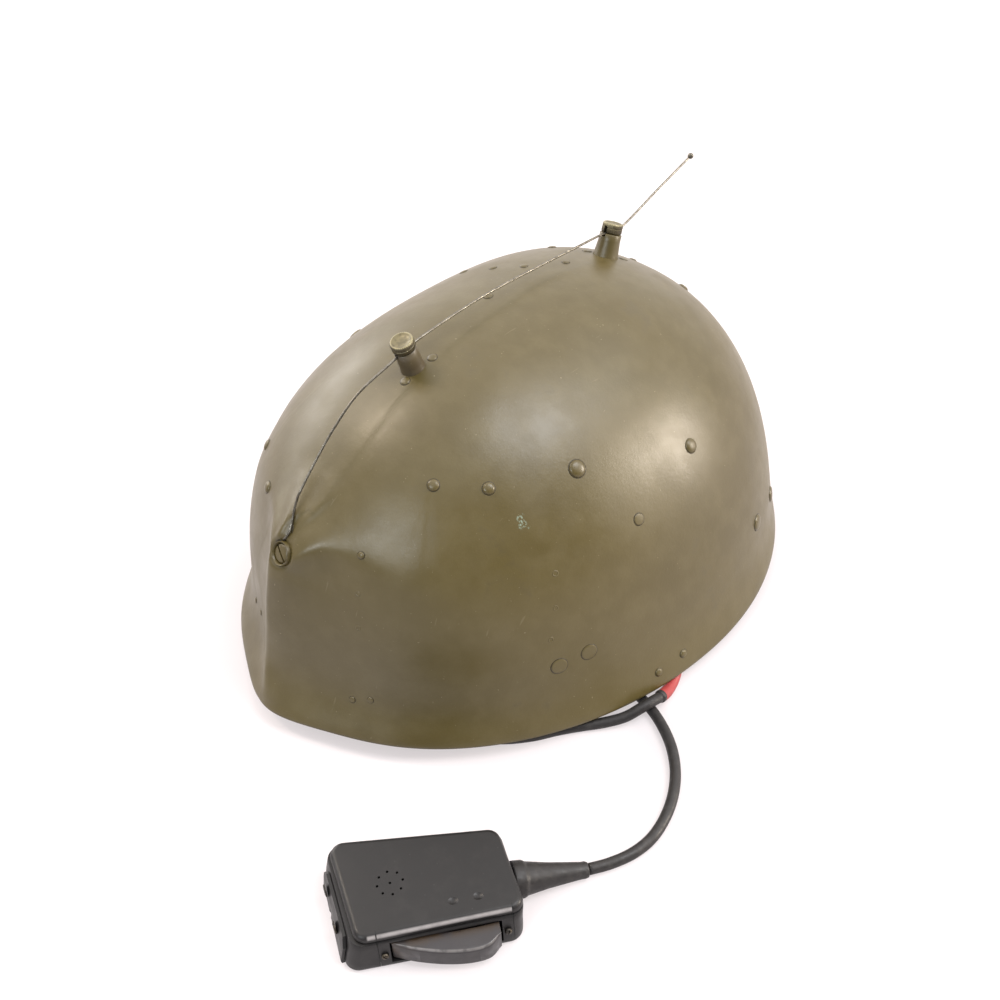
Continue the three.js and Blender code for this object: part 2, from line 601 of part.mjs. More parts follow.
// The side and end of the box have frames of their own: x along the edge, -y outward
function edgeFrame(from, to, middle) {
  const start = new THREE.Vector2(...from);
  const along = new THREE.Vector2(...to).sub(start).normalize();
  const origin = start.clone().addScaledVector(along, middle);
  return new THREE.Matrix4().makeRotationZ(along.angle()).setPosition(origin.x, origin.y, 0);
}

// Beside the near edge, x = 0 is level with the box's own x = 0
const SIDE_FRAME = edgeFrame(BOX_CORNERS[0], BOX_CORNERS[1], -BOX_CORNERS[0][0]);
const END_FRAME = edgeFrame(BOX_CORNERS[3], BOX_CORNERS[0], 0);

function addHousing() {
  const recess = block(SIDE_FROM, SIDE_TO, -20, SIDE_DEPTH, -5, 30).applyMatrix4(SIDE_FRAME);
  const whole = toSolid(boxLoft(HOUSING_LEVELS));
  piece(controlBox, 'box_housing', toGeometry(whole.subtract(toSolid(recess))), PLASTIC);

  const filling = block(SIDE_FROM + GAP, SIDE_TO - GAP, -20, SIDE_DEPTH - GAP, PLATE_LOW, LID_SEAM);
  const opening = block(WINDOW.from, WINDOW.to, -20, 20, WINDOW.low, WINDOW.high);
  const plate = whole.intersect(toSolid(filling.applyMatrix4(SIDE_FRAME)))
    .subtract(toSolid(opening.applyMatrix4(SIDE_FRAME)));
  piece(controlBox, 'lever_plate', toGeometry(plate), PLASTIC);
}

function addLid() {
  let lid = toSolid(boxLoft(LID_LEVELS));
  const hole = (x, y) => {
    const { radius, depth } = SOUND_HOLE;
    const profile = [[0, BOX_HEIGHT - depth], [radius, BOX_HEIGHT - depth], [radius, 25], [0, 25]];
    return toSolid(turned(profile, 6).translate(x, y, 0));
  };
  lid = lid.subtract(hole(SOUND_HOLE.x, SOUND_HOLE.y));
  for (let i = 0; i < SOUND_HOLE.count; i += 1) {
    const turn = SOUND_HOLE.turn + (i * 2 * Math.PI) / SOUND_HOLE.count;
    const x = SOUND_HOLE.x + SOUND_HOLE.ring * Math.cos(turn);
    const y = SOUND_HOLE.y + SOUND_HOLE.ring * Math.sin(turn);
    lid = lid.subtract(hole(x, y));
  }
  piece(controlBox, 'box_lid', toGeometry(lid), PLASTIC);
}

// The talk lever bows out of its window and turns on an upright pin at its thin end
function addLever() {
  const shape = new THREE.Shape();
  shape.moveTo(...LEVER_BOW[0]);
  shape.splineThru(LEVER_BOW.slice(1).map((point) => new THREE.Vector2(...point)));
  LEVER_BACK.forEach((point) => shape.lineTo(...point));
  const bar = new THREE.ExtrudeGeometry(shape, {
    depth: LEVER_HIGH - LEVER_LOW, bevelEnabled: false, curveSegments: 3,
  }).translate(0, 0, LEVER_LOW);
  const boreRadius = PIN.radius + PIN.clearance;
  const bore = turned([[0, 0], [boreRadius, 0], [boreRadius, 25], [0, 25]], 12).translate(PIN.x, PIN.y, 0);
  const lever = toGeometry(toSolid(bar).subtract(toSolid(bore)));
  piece(controlBox, 'talk_lever', lever.applyMatrix4(SIDE_FRAME), LEVER_FINISH);

  const low = WINDOW.low + GAP;
  const high = WINDOW.high - GAP;
  const pin = turned([[0, low], [PIN.radius, low], [PIN.radius, high], [0, high]], 12);
  piece(controlBox, 'lever_pin', pin.translate(PIN.x, PIN.y, 0).applyMatrix4(SIDE_FRAME), STEEL);
}

// A pan head that stands out from a side of the box
function addBoxScrew(name, frame, along, out, height, radius) {
  const head = turned([[0, 0], [radius, 0], [radius * 0.85, 0.6], [0, 0.9]], 12).rotateX(Math.PI / 2);
  piece(controlBox, name, head.translate(along, -out, height).applyMatrix4(frame), STEEL);
}

function addEndPlate() {
  const { from, to, low, high, thick, edge } = END_PLATE;
  const shape = new THREE.Shape();
  shape.moveTo(from, low);
  shape.lineTo(to, low);
  shape.lineTo(to, high - edge);
  shape.lineTo(to - edge, high);
  shape.lineTo(from + edge, high);
  shape.lineTo(from, high - edge);
  shape.closePath();
  const flat = new THREE.ExtrudeGeometry(shape, { depth: thick + 7, bevelEnabled: false });
  const upright = toSolid(flat.rotateX(Math.PI / 2).translate(0, 1, 0).applyMatrix4(END_FRAME));
  const notchFrom = END_NOTCH.at - END_NOTCH.width / 2;
  const notchTo = END_NOTCH.at + END_NOTCH.width / 2;
  const notch = block(notchFrom, notchTo, -20, 20, -5, low + END_NOTCH.depth);
  const inside = toSolid(boxLoft(HOUSING_LEVELS, GAP));
  const outside = toSolid(boxLoft(HOUSING_LEVELS, GAP + thick));
  const plate = upright.intersect(outside).subtract(inside).subtract(toSolid(notch.applyMatrix4(END_FRAME)));
  piece(controlBox, 'end_plate', toGeometry(plate), PLASTIC);
}

function addRelief() {
  const profile = [[0, 0]];
  RELIEF_PROFILE.forEach(({ along, radius }) => profile.push([radius, along]));
  const last = RELIEF_PROFILE[RELIEF_PROFILE.length - 1].along;
  profile.push([0, last]);
  const axis = RELIEF_TO.clone().sub(RELIEF_FROM).normalize();
  const cone = toSolid(stand(turned(profile, 12), RELIEF_FROM, axis));
  const clear = [{ ...HOUSING_LEVELS[2], z: -1 }, ...HOUSING_LEVELS.slice(2), { ...LID_LEVELS[0], z: 25 }];
  const relief = cone.subtract(toSolid(boxLoft(clear, GAP)));
  piece(controlBox, 'strain_relief', toGeometry(relief), RUBBER);
}

piece(helmet, 'helmet_shell', shellGeometry(), OLIVE);
addBrowScrew();
FASTENERS.forEach(({ name, around, up, radius, height }) => addFastener(name, around, up, radius, height));
POSTS.forEach(addPost);
addAntenna();
addClamp();
addCable();
addHousing();
addLid();
addLever();
SIDE_SCREWS.forEach(({ along, out, high }, i) => {
  addBoxScrew(`side_screw_${'ab'[i]}`, SIDE_FRAME, along, out, high, SIDE_SCREW_RADIUS);
});
addEndPlate();
END_SCREWS.forEach(({ along, out, high }, i) => {
  addBoxScrew(`end_screw_${'ab'[i]}`, END_FRAME, along, out, high, END_SCREW_RADIUS);
});
addRelief();

export default radioHelmet;
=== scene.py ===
"""Looks of the radio operator's helmet: fine surfaces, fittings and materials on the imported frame.

Shapes are worked out in millimetres and written to the meshes in metres. The helmet's own frame has
its middle plane at x = 0 and is then rolled onto the cable. The control box has a frame of its own.
"""

import math

import bmesh
import bpy
import numpy as np
from mathutils import Matrix, Vector, noise


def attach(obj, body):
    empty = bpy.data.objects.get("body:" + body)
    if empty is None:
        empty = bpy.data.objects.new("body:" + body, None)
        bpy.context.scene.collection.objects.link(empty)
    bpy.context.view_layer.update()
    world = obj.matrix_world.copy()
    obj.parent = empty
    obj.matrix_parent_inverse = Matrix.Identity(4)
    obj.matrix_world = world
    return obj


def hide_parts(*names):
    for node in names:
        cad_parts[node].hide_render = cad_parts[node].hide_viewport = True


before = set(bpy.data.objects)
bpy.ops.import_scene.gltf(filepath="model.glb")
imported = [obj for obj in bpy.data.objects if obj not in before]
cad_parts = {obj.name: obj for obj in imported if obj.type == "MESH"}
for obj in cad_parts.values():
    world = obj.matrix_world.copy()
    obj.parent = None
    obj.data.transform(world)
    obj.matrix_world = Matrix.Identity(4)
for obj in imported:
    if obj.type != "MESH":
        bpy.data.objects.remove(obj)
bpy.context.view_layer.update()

MM = 0.001
DEG = math.pi / 180

# Camera, fitted to the photo's frame
CAMERA_PLACE = (0.3590, -0.3368, 0.4749)
CAMERA_RIGHT = (0.687, 0.7258, -0.0343)
CAMERA_BACK = (0.5541, -0.4928, 0.6709)
CAMERA_LENS = 46.8
SENSOR = 36

# Shell, as in the frame's source
HALF_WIDTH = 115
FRONT_REACH = 146.3
REAR_REACH = 130.1
HEIGHT = 147.2
WALL = 2.2
ROUND_FRONT = 2.53
ROUND_SIDE = 2.06
ROUND_REAR = 2.48
PLAN_FRONT_TOP = 2.27
PLAN_FRONT_RIM = 2.09
PLAN_REAR = 2.14
PLAN_FADE = 55
RIM_RISE_FRONT = 5
RIM_RISE_QUARTER = 0.3
RIM_RISE_REAR = 9
FLARE_FRONT = 12.8
FLARE_QUARTER = -1.9
FLARE_SIDE = 5.5
FLARE_REAR = 1.7
FLARE_HEIGHT = 12.8
KEEL_REACH = 9.7
KEEL_TOP = 83.5
KEEL_FADE = 16
KEEL_HALF_TOP = 17.6
KEEL_HALF_RIM = 26.4
CROWN_LEAN = 1.5
ROLL = 1.5 * DEG
LIFT = (HALF_WIDTH + FLARE_SIDE) * math.sin(ROLL)
COLUMNS = 400
ROWS = 150
INNER_ROWS = 50
FRONT_DENSITY = 0.55
# The lip between the outer and the inner surface, and where on the inside the wall stops being level
LIP_HEIGHT = 0.5
LIP_DROP = 0.42
LIP_INSET = 0.45
LEVEL_BELOW = 0.12

# Relief of the brow: ridges that run over the dome. Each row is around, up, out from the dome, width on
# the low side, width on the high side, rounding. The side is told by x, and by z for the fold
KEEL_CREST = [
    (0, 0.017, 0.5, 6, 8, 3), (-0.4, 0.037, 1.7, 6, 8, 2.5), (-1, 0.065, 3.1, 6, 9, 2),
    (-1.7, 0.098, 3.9, 6, 10, 1.8), (-2.3, 0.138, 4, 6, 11, 1.6), (-2, 0.224, 3.9, 6, 11, 1.4),
    (-1.6, 0.309, 3.8, 6, 11, 1.2), (-1.6, 0.387, 3.8, 6, 11, 1), (-1.3, 0.479, 3.8, 6, 10, 0.8),
    (-1.5, 0.526, 3.6, 6, 9, 0.7), (-1.7, 0.552, 3.3, 6, 6, 0.6), (-1.4, 0.573, 3.6, 6, 5, 0.6),
    (-1.2, 0.592, 4, 7, 3.5, 0.7), (-1.1, 0.623, 4.6, 9, 3, 0.9), (-1.2, 0.646, 4.5, 10, 3.2, 1.4),
    (-2.1, 0.668, 3.7, 11, 4, 2), (-3.4, 0.698, 2.5, 12, 5, 3), (-4.7, 0.733, 1.2, 12, 6, 5),
    (-6, 0.774, 0, 12, 7, 6),
]
WIRE_BANK = [
    (0, 0.583, 1.1, 3, 9, 0.8), (0.3, 0.601, 1.7, 4, 9, 0.8), (0.4, 0.624, 2.2, 8, 9, 0.5),
    (0.8, 0.64, 2.4, 18, 8, 0.4), (1.5, 0.653, 2.4, 24, 7, 0.4), (2.5, 0.679, 2, 24, 7, 0.5),
    (3.7, 0.711, 1.5, 24, 8, 0.8), (4.6, 0.735, 1, 24, 9, 1.5), (5.6, 0.778, 0, 20, 12, 3),
]
BROW_FOLD = [
    (0.9, 0.531, 1.7, 5, 8, 0.6), (1.8, 0.547, 2.6, 5, 10, 0.6), (2.8, 0.564, 3.1, 6, 12, 0.8),
    (3.8, 0.579, 3.3, 6, 13, 1.2), (4.9, 0.595, 3.3, 7, 14, 1.7), (6.5, 0.609, 3.1, 7, 14, 2.3),
    (8.5, 0.614, 2.9, 8, 15, 3), (10.8, 0.616, 2.6, 8, 16, 3.8), (13.2, 0.615, 2.3, 9, 17, 4.6),
    (17.2, 0.608, 2, 10, 18, 6), (21.1, 0.6, 1.8, 10, 18, 7), (26.2, 0.583, 1.6, 10, 18, 8),
    (31, 0.575, 1.3, 10, 18, 9), (35.5, 0.576, 0.9, 10, 18, 10), (42.2, 0.576, 0, 10, 18, 10),
]
WIRE_VALLEY = [
    (-1.1, 0.583, -0.5, 1.2, 1.2, 0.5), (-0.5, 0.596, -0.7, 1.1, 1.1, 0.5),
    (-0.3, 0.609, -0.9, 1.1, 1.1, 0.5), (-0.6, 0.624, -1.3, 1.1, 1.1, 0.5),
    (-1.1, 0.638, -1.1, 1.2, 1.2, 0.5), (-1.8, 0.657, -0.8, 1.5, 1.5, 0.7),
    (-3.3, 0.684, -0.4, 2, 2, 1), (-4.8, 0.719, 0, 2, 2, 1.5),
]
# How sharply the highest ridge takes over from its neighbours
RIDGE_POWER = 6
# The relief stays clear of the screw by this radius, and ends at this y
POCKET_RADIUS = 5.4
BROW_BACK = -40
DENT_DEPTH = 0.14
DENT_SIZE = 42
CREASE_RADIUS = 0.34
# Painted shade in the sharp creases of the metal above the screw: around, up
CREASES = [
    [(-1.1, 0.656), (-0.55, 0.640), (-0.28, 0.629), (0.1, 0.622), (0.35, 0.613)],
    [(-0.1, 0.608), (-0.05, 0.6), (-0.25, 0.592), (-0.9, 0.5855), (-1.35, 0.5825), (-1.75, 0.575)],
]

# Brow screw and the cup that it sits in
SCREW_UP = 0.561
SCREW_RADIUS = 4.3
SCREW_HEIGHT = 1.9
CUP_INNER = 4.55
CUP_OUTER = 5.3
CUP_HEIGHT = 2.5
SLOT_WIDTH = 0.85
SLOT_DEPTH = 1
SLOT_TURN = 54 * DEG

# Posts and antenna
POSTS = [
    dict(name="front_post", around=0, up=0.9525, foot=5.4, stem=5.1, height=10.8, groove=9,
         cap=5.3, rise=0.6, slot=0),
    dict(name="rear_post", around=-175, up=0.9225, foot=6, stem=5.3, height=10.4, groove=8.9,
         cap=4.9, rise=0, slot=3.2),
]
POST_LIFT = 0.5
GROOVE_WIDTH = 1.8
CAP_HEIGHT = 4.8
CAP_NECK = 1.4
# Top of a cap: share of its radius, how far below its highest ring
CAP_DISH = [
    (0, 0.7), (0.4, 0.65), (0.62, 0.5), (0.72, 0.3), (0.8, 0.05), (0.87, 0), (0.94, 0.2), (0.985, 0.6),
    (1, 1.2), (1, 2),
]
KNURL_DEPTH = 0.014
KNURL_TEETH = 36
GAP = 0.3
WIRE_RADIUS = 0.55
TIP_RADIUS = 1.5
# Foot of the wire, in the valley above the screw: around, up, out from the dome
WIRE_FOOT = [(-0.4, 0.591, 2), (0, 0.612, 2.5), (-0.3, 0.634, 3.4), (-0.6, 0.654, 4.9), (-0.5, 0.681, 7.5)]

# Rivets: around, up, radius, height. A dome is a full head, a disc is nearly flush
DOMES = [
    ("front_post_rivet_a", 2.35, 0.9365, 2.1, 0.6), ("front_post_rivet_b", 3.6, 0.967, 2.1, 0.6),
    ("rear_post_rivet_a", -166.4, 0.929, 2.2, 0.45), ("rear_post_rivet_b", -179.6, 0.9, 2.2, 0.45),
    ("brow_rivet_a", 29.8, 0.79, 2.5, 1), ("brow_rivet_b", 45.4, 0.774, 2.6, 1),
    ("brow_rivet_c", 16.3, 0.614, 1.5, 0.6),
    ("temple_rivet_left_a", 70.4, 0.754, 3.8, 1.3), ("temple_rivet_left_b", 100.6, 0.651, 3.4, 1.3),
    ("nape_rivet_left_a", 114.8, 0.234, 4, 1), ("nape_rivet_left_b", 129.4, 0.172, 4, 1),
    ("nape_rivet_middle", 169, 0.762, 2.6, 1),
    ("clamp_rivet_a", 79.8, 0.056, 2, 0.9), ("clamp_rivet_b", 85.6, 0.064, 2, 0.9),
    ("brow_rivet_right_a", -15.8, 0.61, 2.7, 1), ("brow_rivet_right_b", -32, 0.623, 2.7, 1),
    ("temple_rivet_right_a", -70.4, 0.754, 3.8, 1.3), ("temple_rivet_right_b", -100.6, 0.651, 3.4, 1.3),
    ("nape_rivet_right_a", -114.8, 0.234, 4, 1), ("nape_rivet_right_b", -129.4, 0.172, 4, 1),
    ("crown_rivet_a", -53.6, 0.9975, 2.2, 0.6), ("crown_rivet_b", -100.6, 0.908, 2, 0.5),
    ("crown_rivet_c", -111, 0.965, 1.8, 0.5), ("crown_rivet_d", -137.8, 0.986, 1.8, 0.5),
    ("crown_rivet_e", -146.8, 0.91, 2, 0.5), ("crown_rivet_f", -170.2, 0.979, 1.8, 0.5),
    ("crown_rivet_g", -176.2, 0.84, 1.8, 0.5),
]
DISCS = [
    ("temple_disc", 82, 0.571, 2.6, 0.4), ("cheek_disc_a", 60.2, 0.238, 3.8, 0.4),
    ("cheek_disc_b", 66.4, 0.252, 3.8, 0.4), ("skirt_rivet_left_a", 17.2, 0.116, 1.4, 0.4),
    ("skirt_rivet_left_b", 21.2, 0.131, 1.4, 0.4), ("skirt_rivet_right_a", -12.6, 0.186, 1.4, 0.4),
    ("skirt_rivet_right_b", -18.4, 0.164, 1.4, 0.4),
]
# Filled holes that show as tiny rings under the paint: around, up, radius
RINGS = [(61.2, 0.536, 1.4), (60.6, 0.438, 1.2), (59, 0.342, 1.2), (16.9, 0.506, 1.2), (17.8, 0.394, 1.2)]
# Width of the painted shade ring round a rivet's base
SHADE_RING_WIDTH = 0.42
HEAD_SUNK = 0.6
# A dome: shares of its radius and height
DOME_SHAPE = [(0, 1), (0.35, 0.97), (0.65, 0.82), (0.86, 0.55), (0.96, 0.25), (1, 0)]

# Cable, as in the frame's source
CABLE_RADIUS = 2.5
FERRULE_LENGTH = 18.5
SLEEVE_LENGTH = 22.8
SLEEVE_TO_CABLE = 0.7
SLEEVE_RADIUS = 2.9
COLLAR_RADII = [2.95, 3.05, 3.05, 3, 2.85, 2.6]
CABLE_ROUTE = [
    (105.2, 2.2, 12.4), (107.6, -2.6, 10.2), (110.6, -7.4, 7.4), (113.8, -12.4, 4.7),
    (116.9, -17.6, 3.1), (119.2, -22.8, 3), (120.8, -28, 4), (121.8, -33.4, 6.1),
    (121.9, -39, 7.8), (120.6, -45, 7.2), (117.6, -52.2, 4.6), (112.2, -60.6, 3.1),
    (105.9, -69, 2.5), (100.4, -77.6, 2.5), (94, -89, 2.5), (84, -101, 2.5), (70, -109.6, 2.5),
    (54, -112.4, 2.5), (37.6, -108.6, 2.5), (24.4, -98.6, 2.5), (16.8, -84, 2.5), (16.8, -67, 2.5),
    (24.4, -51.6, 2.5), (38.6, -40.4, 2.5), (56, -34.8, 2.5), (76, -33.6, 2.5), (98, -35.4, 2.5),
    (121, -39.2, 2.5), (132.6, -43.4, 2.5), (144.3, -50.4, 2.5), (154.9, -60.8, 2.5),
    (163, -74.2, 2.5), (167.4, -89.4, 2.5), (166.9, -101, 2.5), (163.4, -112, 2.7),
    (159.6, -120.1, 3.4),
]

# Control box, as in the frame's source
BOX_PLACE = (124.4, -176.3)
BOX_TURN = 55 * DEG
BOX_CORNERS = [(-29.5, -21.9), (36.8, -18), (30.6, 18.5), (-38.2, 23)]
BASE_CORNERS = [(-34.8, -24.7), (36.2, -21.8), (32.6, 20.2), (-42, 25.2)]
BOX_CORNER_RADIUS = 5
BOX_CORNER_STEPS = 10
BOX_HEIGHT = 20
LID_SEAM = 16
HOUSING_LEVELS = [
    # height, how far out, share of the base outline
    (0, -1.6, 1), (0.3, -0.9, 1), (0.9, -0.4, 1), (1.6, -0.1, 1), (2.4, 0, 1), (5, 0.1, 0.9),
    (9, 0.1, 0.75), (13, 0.3, 0.5), (15.6, 0.5, 0.32), (LID_SEAM, 0.3, 0.3),
]
LID_LEVELS = [
    (LID_SEAM + GAP, 0.3, 0), (16.6, 0.5, 0), (18, 0.4, 0), (18.8, 0.15, 0), (19.3, -0.25, 0),
    (19.7, -0.75, 0), (19.93, -1.3, 0), (BOX_HEIGHT, -1.9, 0),
]
SOUND_HOLE = dict(x=-14.5, y=0.4, ring=5.2, count=8, turn=7.5 * DEG, radius=0.55, depth=1.5)
DIMPLES = [(9.2, -11.6), (19.1, -11.1)]
DIMPLE_RADIUS = 2.1
SIDE_DEPTH = 3
SEAM = 0.1
SIDE_FROM = -21.8
SIDE_TO = 31.6
PLATE_LOW = 0.6
WINDOW = dict(start=-17.2, end=27, low=3.2, high=15.2)
LEVER_LOW = 4
LEVER_HIGH = 14.1
LEVER_ROUND = 1.9
LEVER_BOW = [(-16.4, -1.3), (-8, -5.4), (4, -9.3), (14, -10.8), (21, -10), (25.8, -6)]
LEVER_BACK = [(25.8, -1.3), (18, -1.6), (4, -1.1), (-11.6, 1.9), (-15.4, 2.1), (-16.6, 0.8)]
SIDE_SCREWS = [(-19.5, 2.65, 8.4), (29.1, 3.4, 9.2)]
END_SCREWS = [(14.2, 5.6, 9.2), (31.4, 6.05, 9.2)]
# A screw's head: shares of its radius and height
SCREW_SHAPE = [(0, 1), (0.6, 0.95), (0.85, 0.75), (1, 0.35)]
# How far out the lid reaches beside the rubber, then the rubber itself: reach along it, radius
LID_OUT = 0.6
RELIEF_FROM = (31, 0.2, 9)
RELIEF_TO = (65.5, 3.2, 3.5)
RELIEF_PROFILE = [(0, 7.6), (7.6, 7.6), (8.8, 6.8), (18, 5.2), (27, 4.1), (35, 3.2)]
RELIEF_RINGS = 60
RELIEF_SIDES = 32


# Meshes

def unit(vectors):
    return vectors / np.linalg.norm(vectors, axis=-1, keepdims=True)


def edit(mesh, change):
    """Run a change on a mesh while it is open as a bmesh."""
    bm = bmesh.new()
    bm.from_mesh(mesh)
    change(bm)
    bm.to_mesh(mesh)
    bm.free()


def new_object(name, points, faces):
    """An object of points in millimetres, its faces turned outward."""
    mesh = bpy.data.meshes.new(name)
    mesh.from_pydata([tuple(p) for p in np.asarray(points, float) * MM], [], [tuple(f) for f in faces])
    edit(mesh, lambda bm: bmesh.ops.recalc_face_normals(bm, faces=bm.faces))
    obj = bpy.data.objects.new(name, mesh)
    bpy.context.scene.collection.objects.link(obj)
    return obj


def mesh_object(name, points, faces, material, body="helmet"):
    """A smooth piece that rides on a body."""
    obj = new_object(name, points, faces)
    obj.data.materials.append(material)
    obj.data.polygons.foreach_set("use_smooth", [True] * len(obj.data.polygons))
    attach(obj, body)
    return obj


def sharpen(obj, angle=35):
    """Sharp edges where the surface turns by more than an angle."""
    def change(bm):
        for edge in bm.edges:
            edge.smooth = edge.calc_face_angle(0) < angle * DEG

    edit(obj.data, change)


def bake(obj):
    """Apply the modifiers of an object to its mesh."""
    bpy.context.view_layer.update()
    seen = obj.evaluated_get(bpy.context.evaluated_depsgraph_get())
    mesh = bpy.data.meshes.new_from_object(seen)
    old = obj.data
    obj.modifiers.clear()
    obj.data = mesh
    bpy.data.meshes.remove(old)


def cut(obj, cutter_points, cutter_faces):
    """Cut a body away from an object."""
    cutter = new_object("cutter", cutter_points, cutter_faces)
    difference = obj.modifiers.new("cut", "BOOLEAN")
    difference.object = cutter
    difference.solver = "EXACT"
    bake(obj)
    bpy.data.objects.remove(cutter)


def bevel(obj, width, segments, angle):
    """Round the sharp edges of an object, width in millimetres."""
    rounder = obj.modifiers.new("bevel", "BEVEL")
    rounder.width = width * MM
    rounder.segments = segments
    rounder.limit_method = "ANGLE"
    rounder.angle_limit = angle * DEG
    rounder.harden_normals = True
    bake(obj)


def move(obj, placing):
    """Send an object's points, in millimetres, through a placing."""
    points = placing(np.array([v.co for v in obj.data.vertices]) / MM)
    obj.data.vertices.foreach_set("co", (points * MM).ravel())
    obj.data.update()


def merge(parts):
    """Several (points, faces) as one."""
    points = []
    faces = []
    for part_points, part_faces in parts:
        start = len(points)
        points.extend(part_points)
        faces.extend([tuple(i + start for i in face) for face in part_faces])
    return np.array(points, float), faces


def bands(rings, count):
    """Four-sided faces between rings that follow one another, each of as many points."""
    faces = []
    for j in range(rings - 1):
        for i in range(count):
            k = (i + 1) % count
            faces.append((j * count + i, j * count + k, (j + 1) * count + k, (j + 1) * count + i))
    return faces


def closed_bands(rings, count):
    """Bands with a face over the first ring and one over the last."""
    last = (rings - 1) * count
    return [tuple(range(count))[::-1], tuple(range(last, last + count)), *bands(rings, count)]


def block(from_x, to_x, from_y, to_y, from_z, to_z):
    points = [(x, y, z) for z in (from_z, to_z) for y in (from_y, to_y) for x in (from_x, to_x)]
    faces = [(0, 2, 3, 1), (4, 5, 7, 6), (0, 1, 5, 4), (2, 6, 7, 3), (0, 4, 6, 2), (1, 3, 7, 5)]
    return np.array(points, float), faces


def turned(profile, sides, ripple=0, teeth=0):
    """A turned body along +Z. The profile is (radius, height) from axis to axis. Teeth ripple the side."""
    turns = 2 * math.pi * np.arange(sides) / sides
    wave = 1 + ripple * np.cos(teeth * turns)
    circle = np.stack([np.cos(turns) * wave, np.sin(turns) * wave], axis=1)
    points = [(0, 0, profile[0][1])]
    for radius, height in profile[1:-1]:
        points.extend((x * radius, y * radius, height) for x, y in circle)
    end = len(points)
    points.append((0, 0, profile[-1][1]))
    faces = [tuple(i + 1 for i in face) for face in bands(len(profile) - 2, sides)]
    for i in range(sides):
        j = (i + 1) % sides
        faces.append((0, 1 + j, 1 + i))
        faces.append((end - sides + i, end - sides + j, end))
    return np.array(points, float), faces


def rotated(points, angle, axis):
    return np.asarray(points) @ np.array(Matrix.Rotation(angle, 3, axis)).T


def stand(points, place, direction):
    """Points that stand along +Z, moved to stand along a direction at a place."""
    turn = Vector((0, 0, 1)).rotation_difference(Vector(direction)).to_matrix()
    return np.asarray(points) @ np.array(turn).T + np.asarray(place)


def centripetal(points, per_piece=24):
    """A smooth curve through points, with its distance along at each sample."""
    points = np.asarray(points, float)
    padded = np.vstack([2 * points[0] - points[1], points, 2 * points[-1] - points[-2]])
    steps = np.diff(padded, axis=0)
    gaps = np.linalg.norm(steps, axis=1, keepdims=True) ** 0.5
    slopes = steps / gaps
    slopes = slopes[:-1] + slopes[1:] - (padded[2:] - padded[:-2]) / (gaps[:-1] + gaps[1:])
    t = np.arange(per_piece)[:, None] / per_piece
    samples = []
    for p1, p2, slope1, slope2, gap in zip(points, points[1:], slopes, slopes[1:], gaps[1:]):
        t1 = slope1 * gap
        t2 = slope2 * gap
        step = p2 - p1
        samples.append(p1 + t1 * t + (3 * step - 2 * t1 - t2) * t ** 2 + (t1 + t2 - 2 * step) * t ** 3)
    samples = np.vstack([*samples, points[-1]])
    along = np.concatenate([[0], np.cumsum(np.linalg.norm(np.diff(samples, axis=0), axis=1))])
    return samples, along


def stretch(samples, along, start, end, count):
    """Evenly spaced points of a curve between two distances along it."""
    wanted = np.linspace(start, end, count)
    return np.stack([np.interp(wanted, along, values) for values in samples.T], axis=1)


def smooth_path(points, count, per_piece=24):
    """Evenly spaced points of all of a smooth curve through points."""
    samples, along = centripetal(points, per_piece)
    return stretch(samples, along, 0, along[-1], count)


def tube(path, radii, sides=20):
    """A tube round a path, one radius for all of it or one for each point."""
    radii = np.broadcast_to(np.asarray(radii, float), (len(path),))
    tangents = unit(np.gradient(path, axis=0))
    turns = 2 * math.pi * np.arange(sides)[:, None] / sides
    side = np.cross(tangents[0], (0, 0, 1))
    rings = []
    for centre, tangent, radius in zip(path, tangents, radii):
        side = unit(side - tangent * (side @ tangent))
        rings.append(centre + radius * (np.cos(turns) * side + np.sin(turns) * np.cross(tangent, side)))
    return np.concatenate(rings), closed_bands(len(rings), sides)


# Shell surface

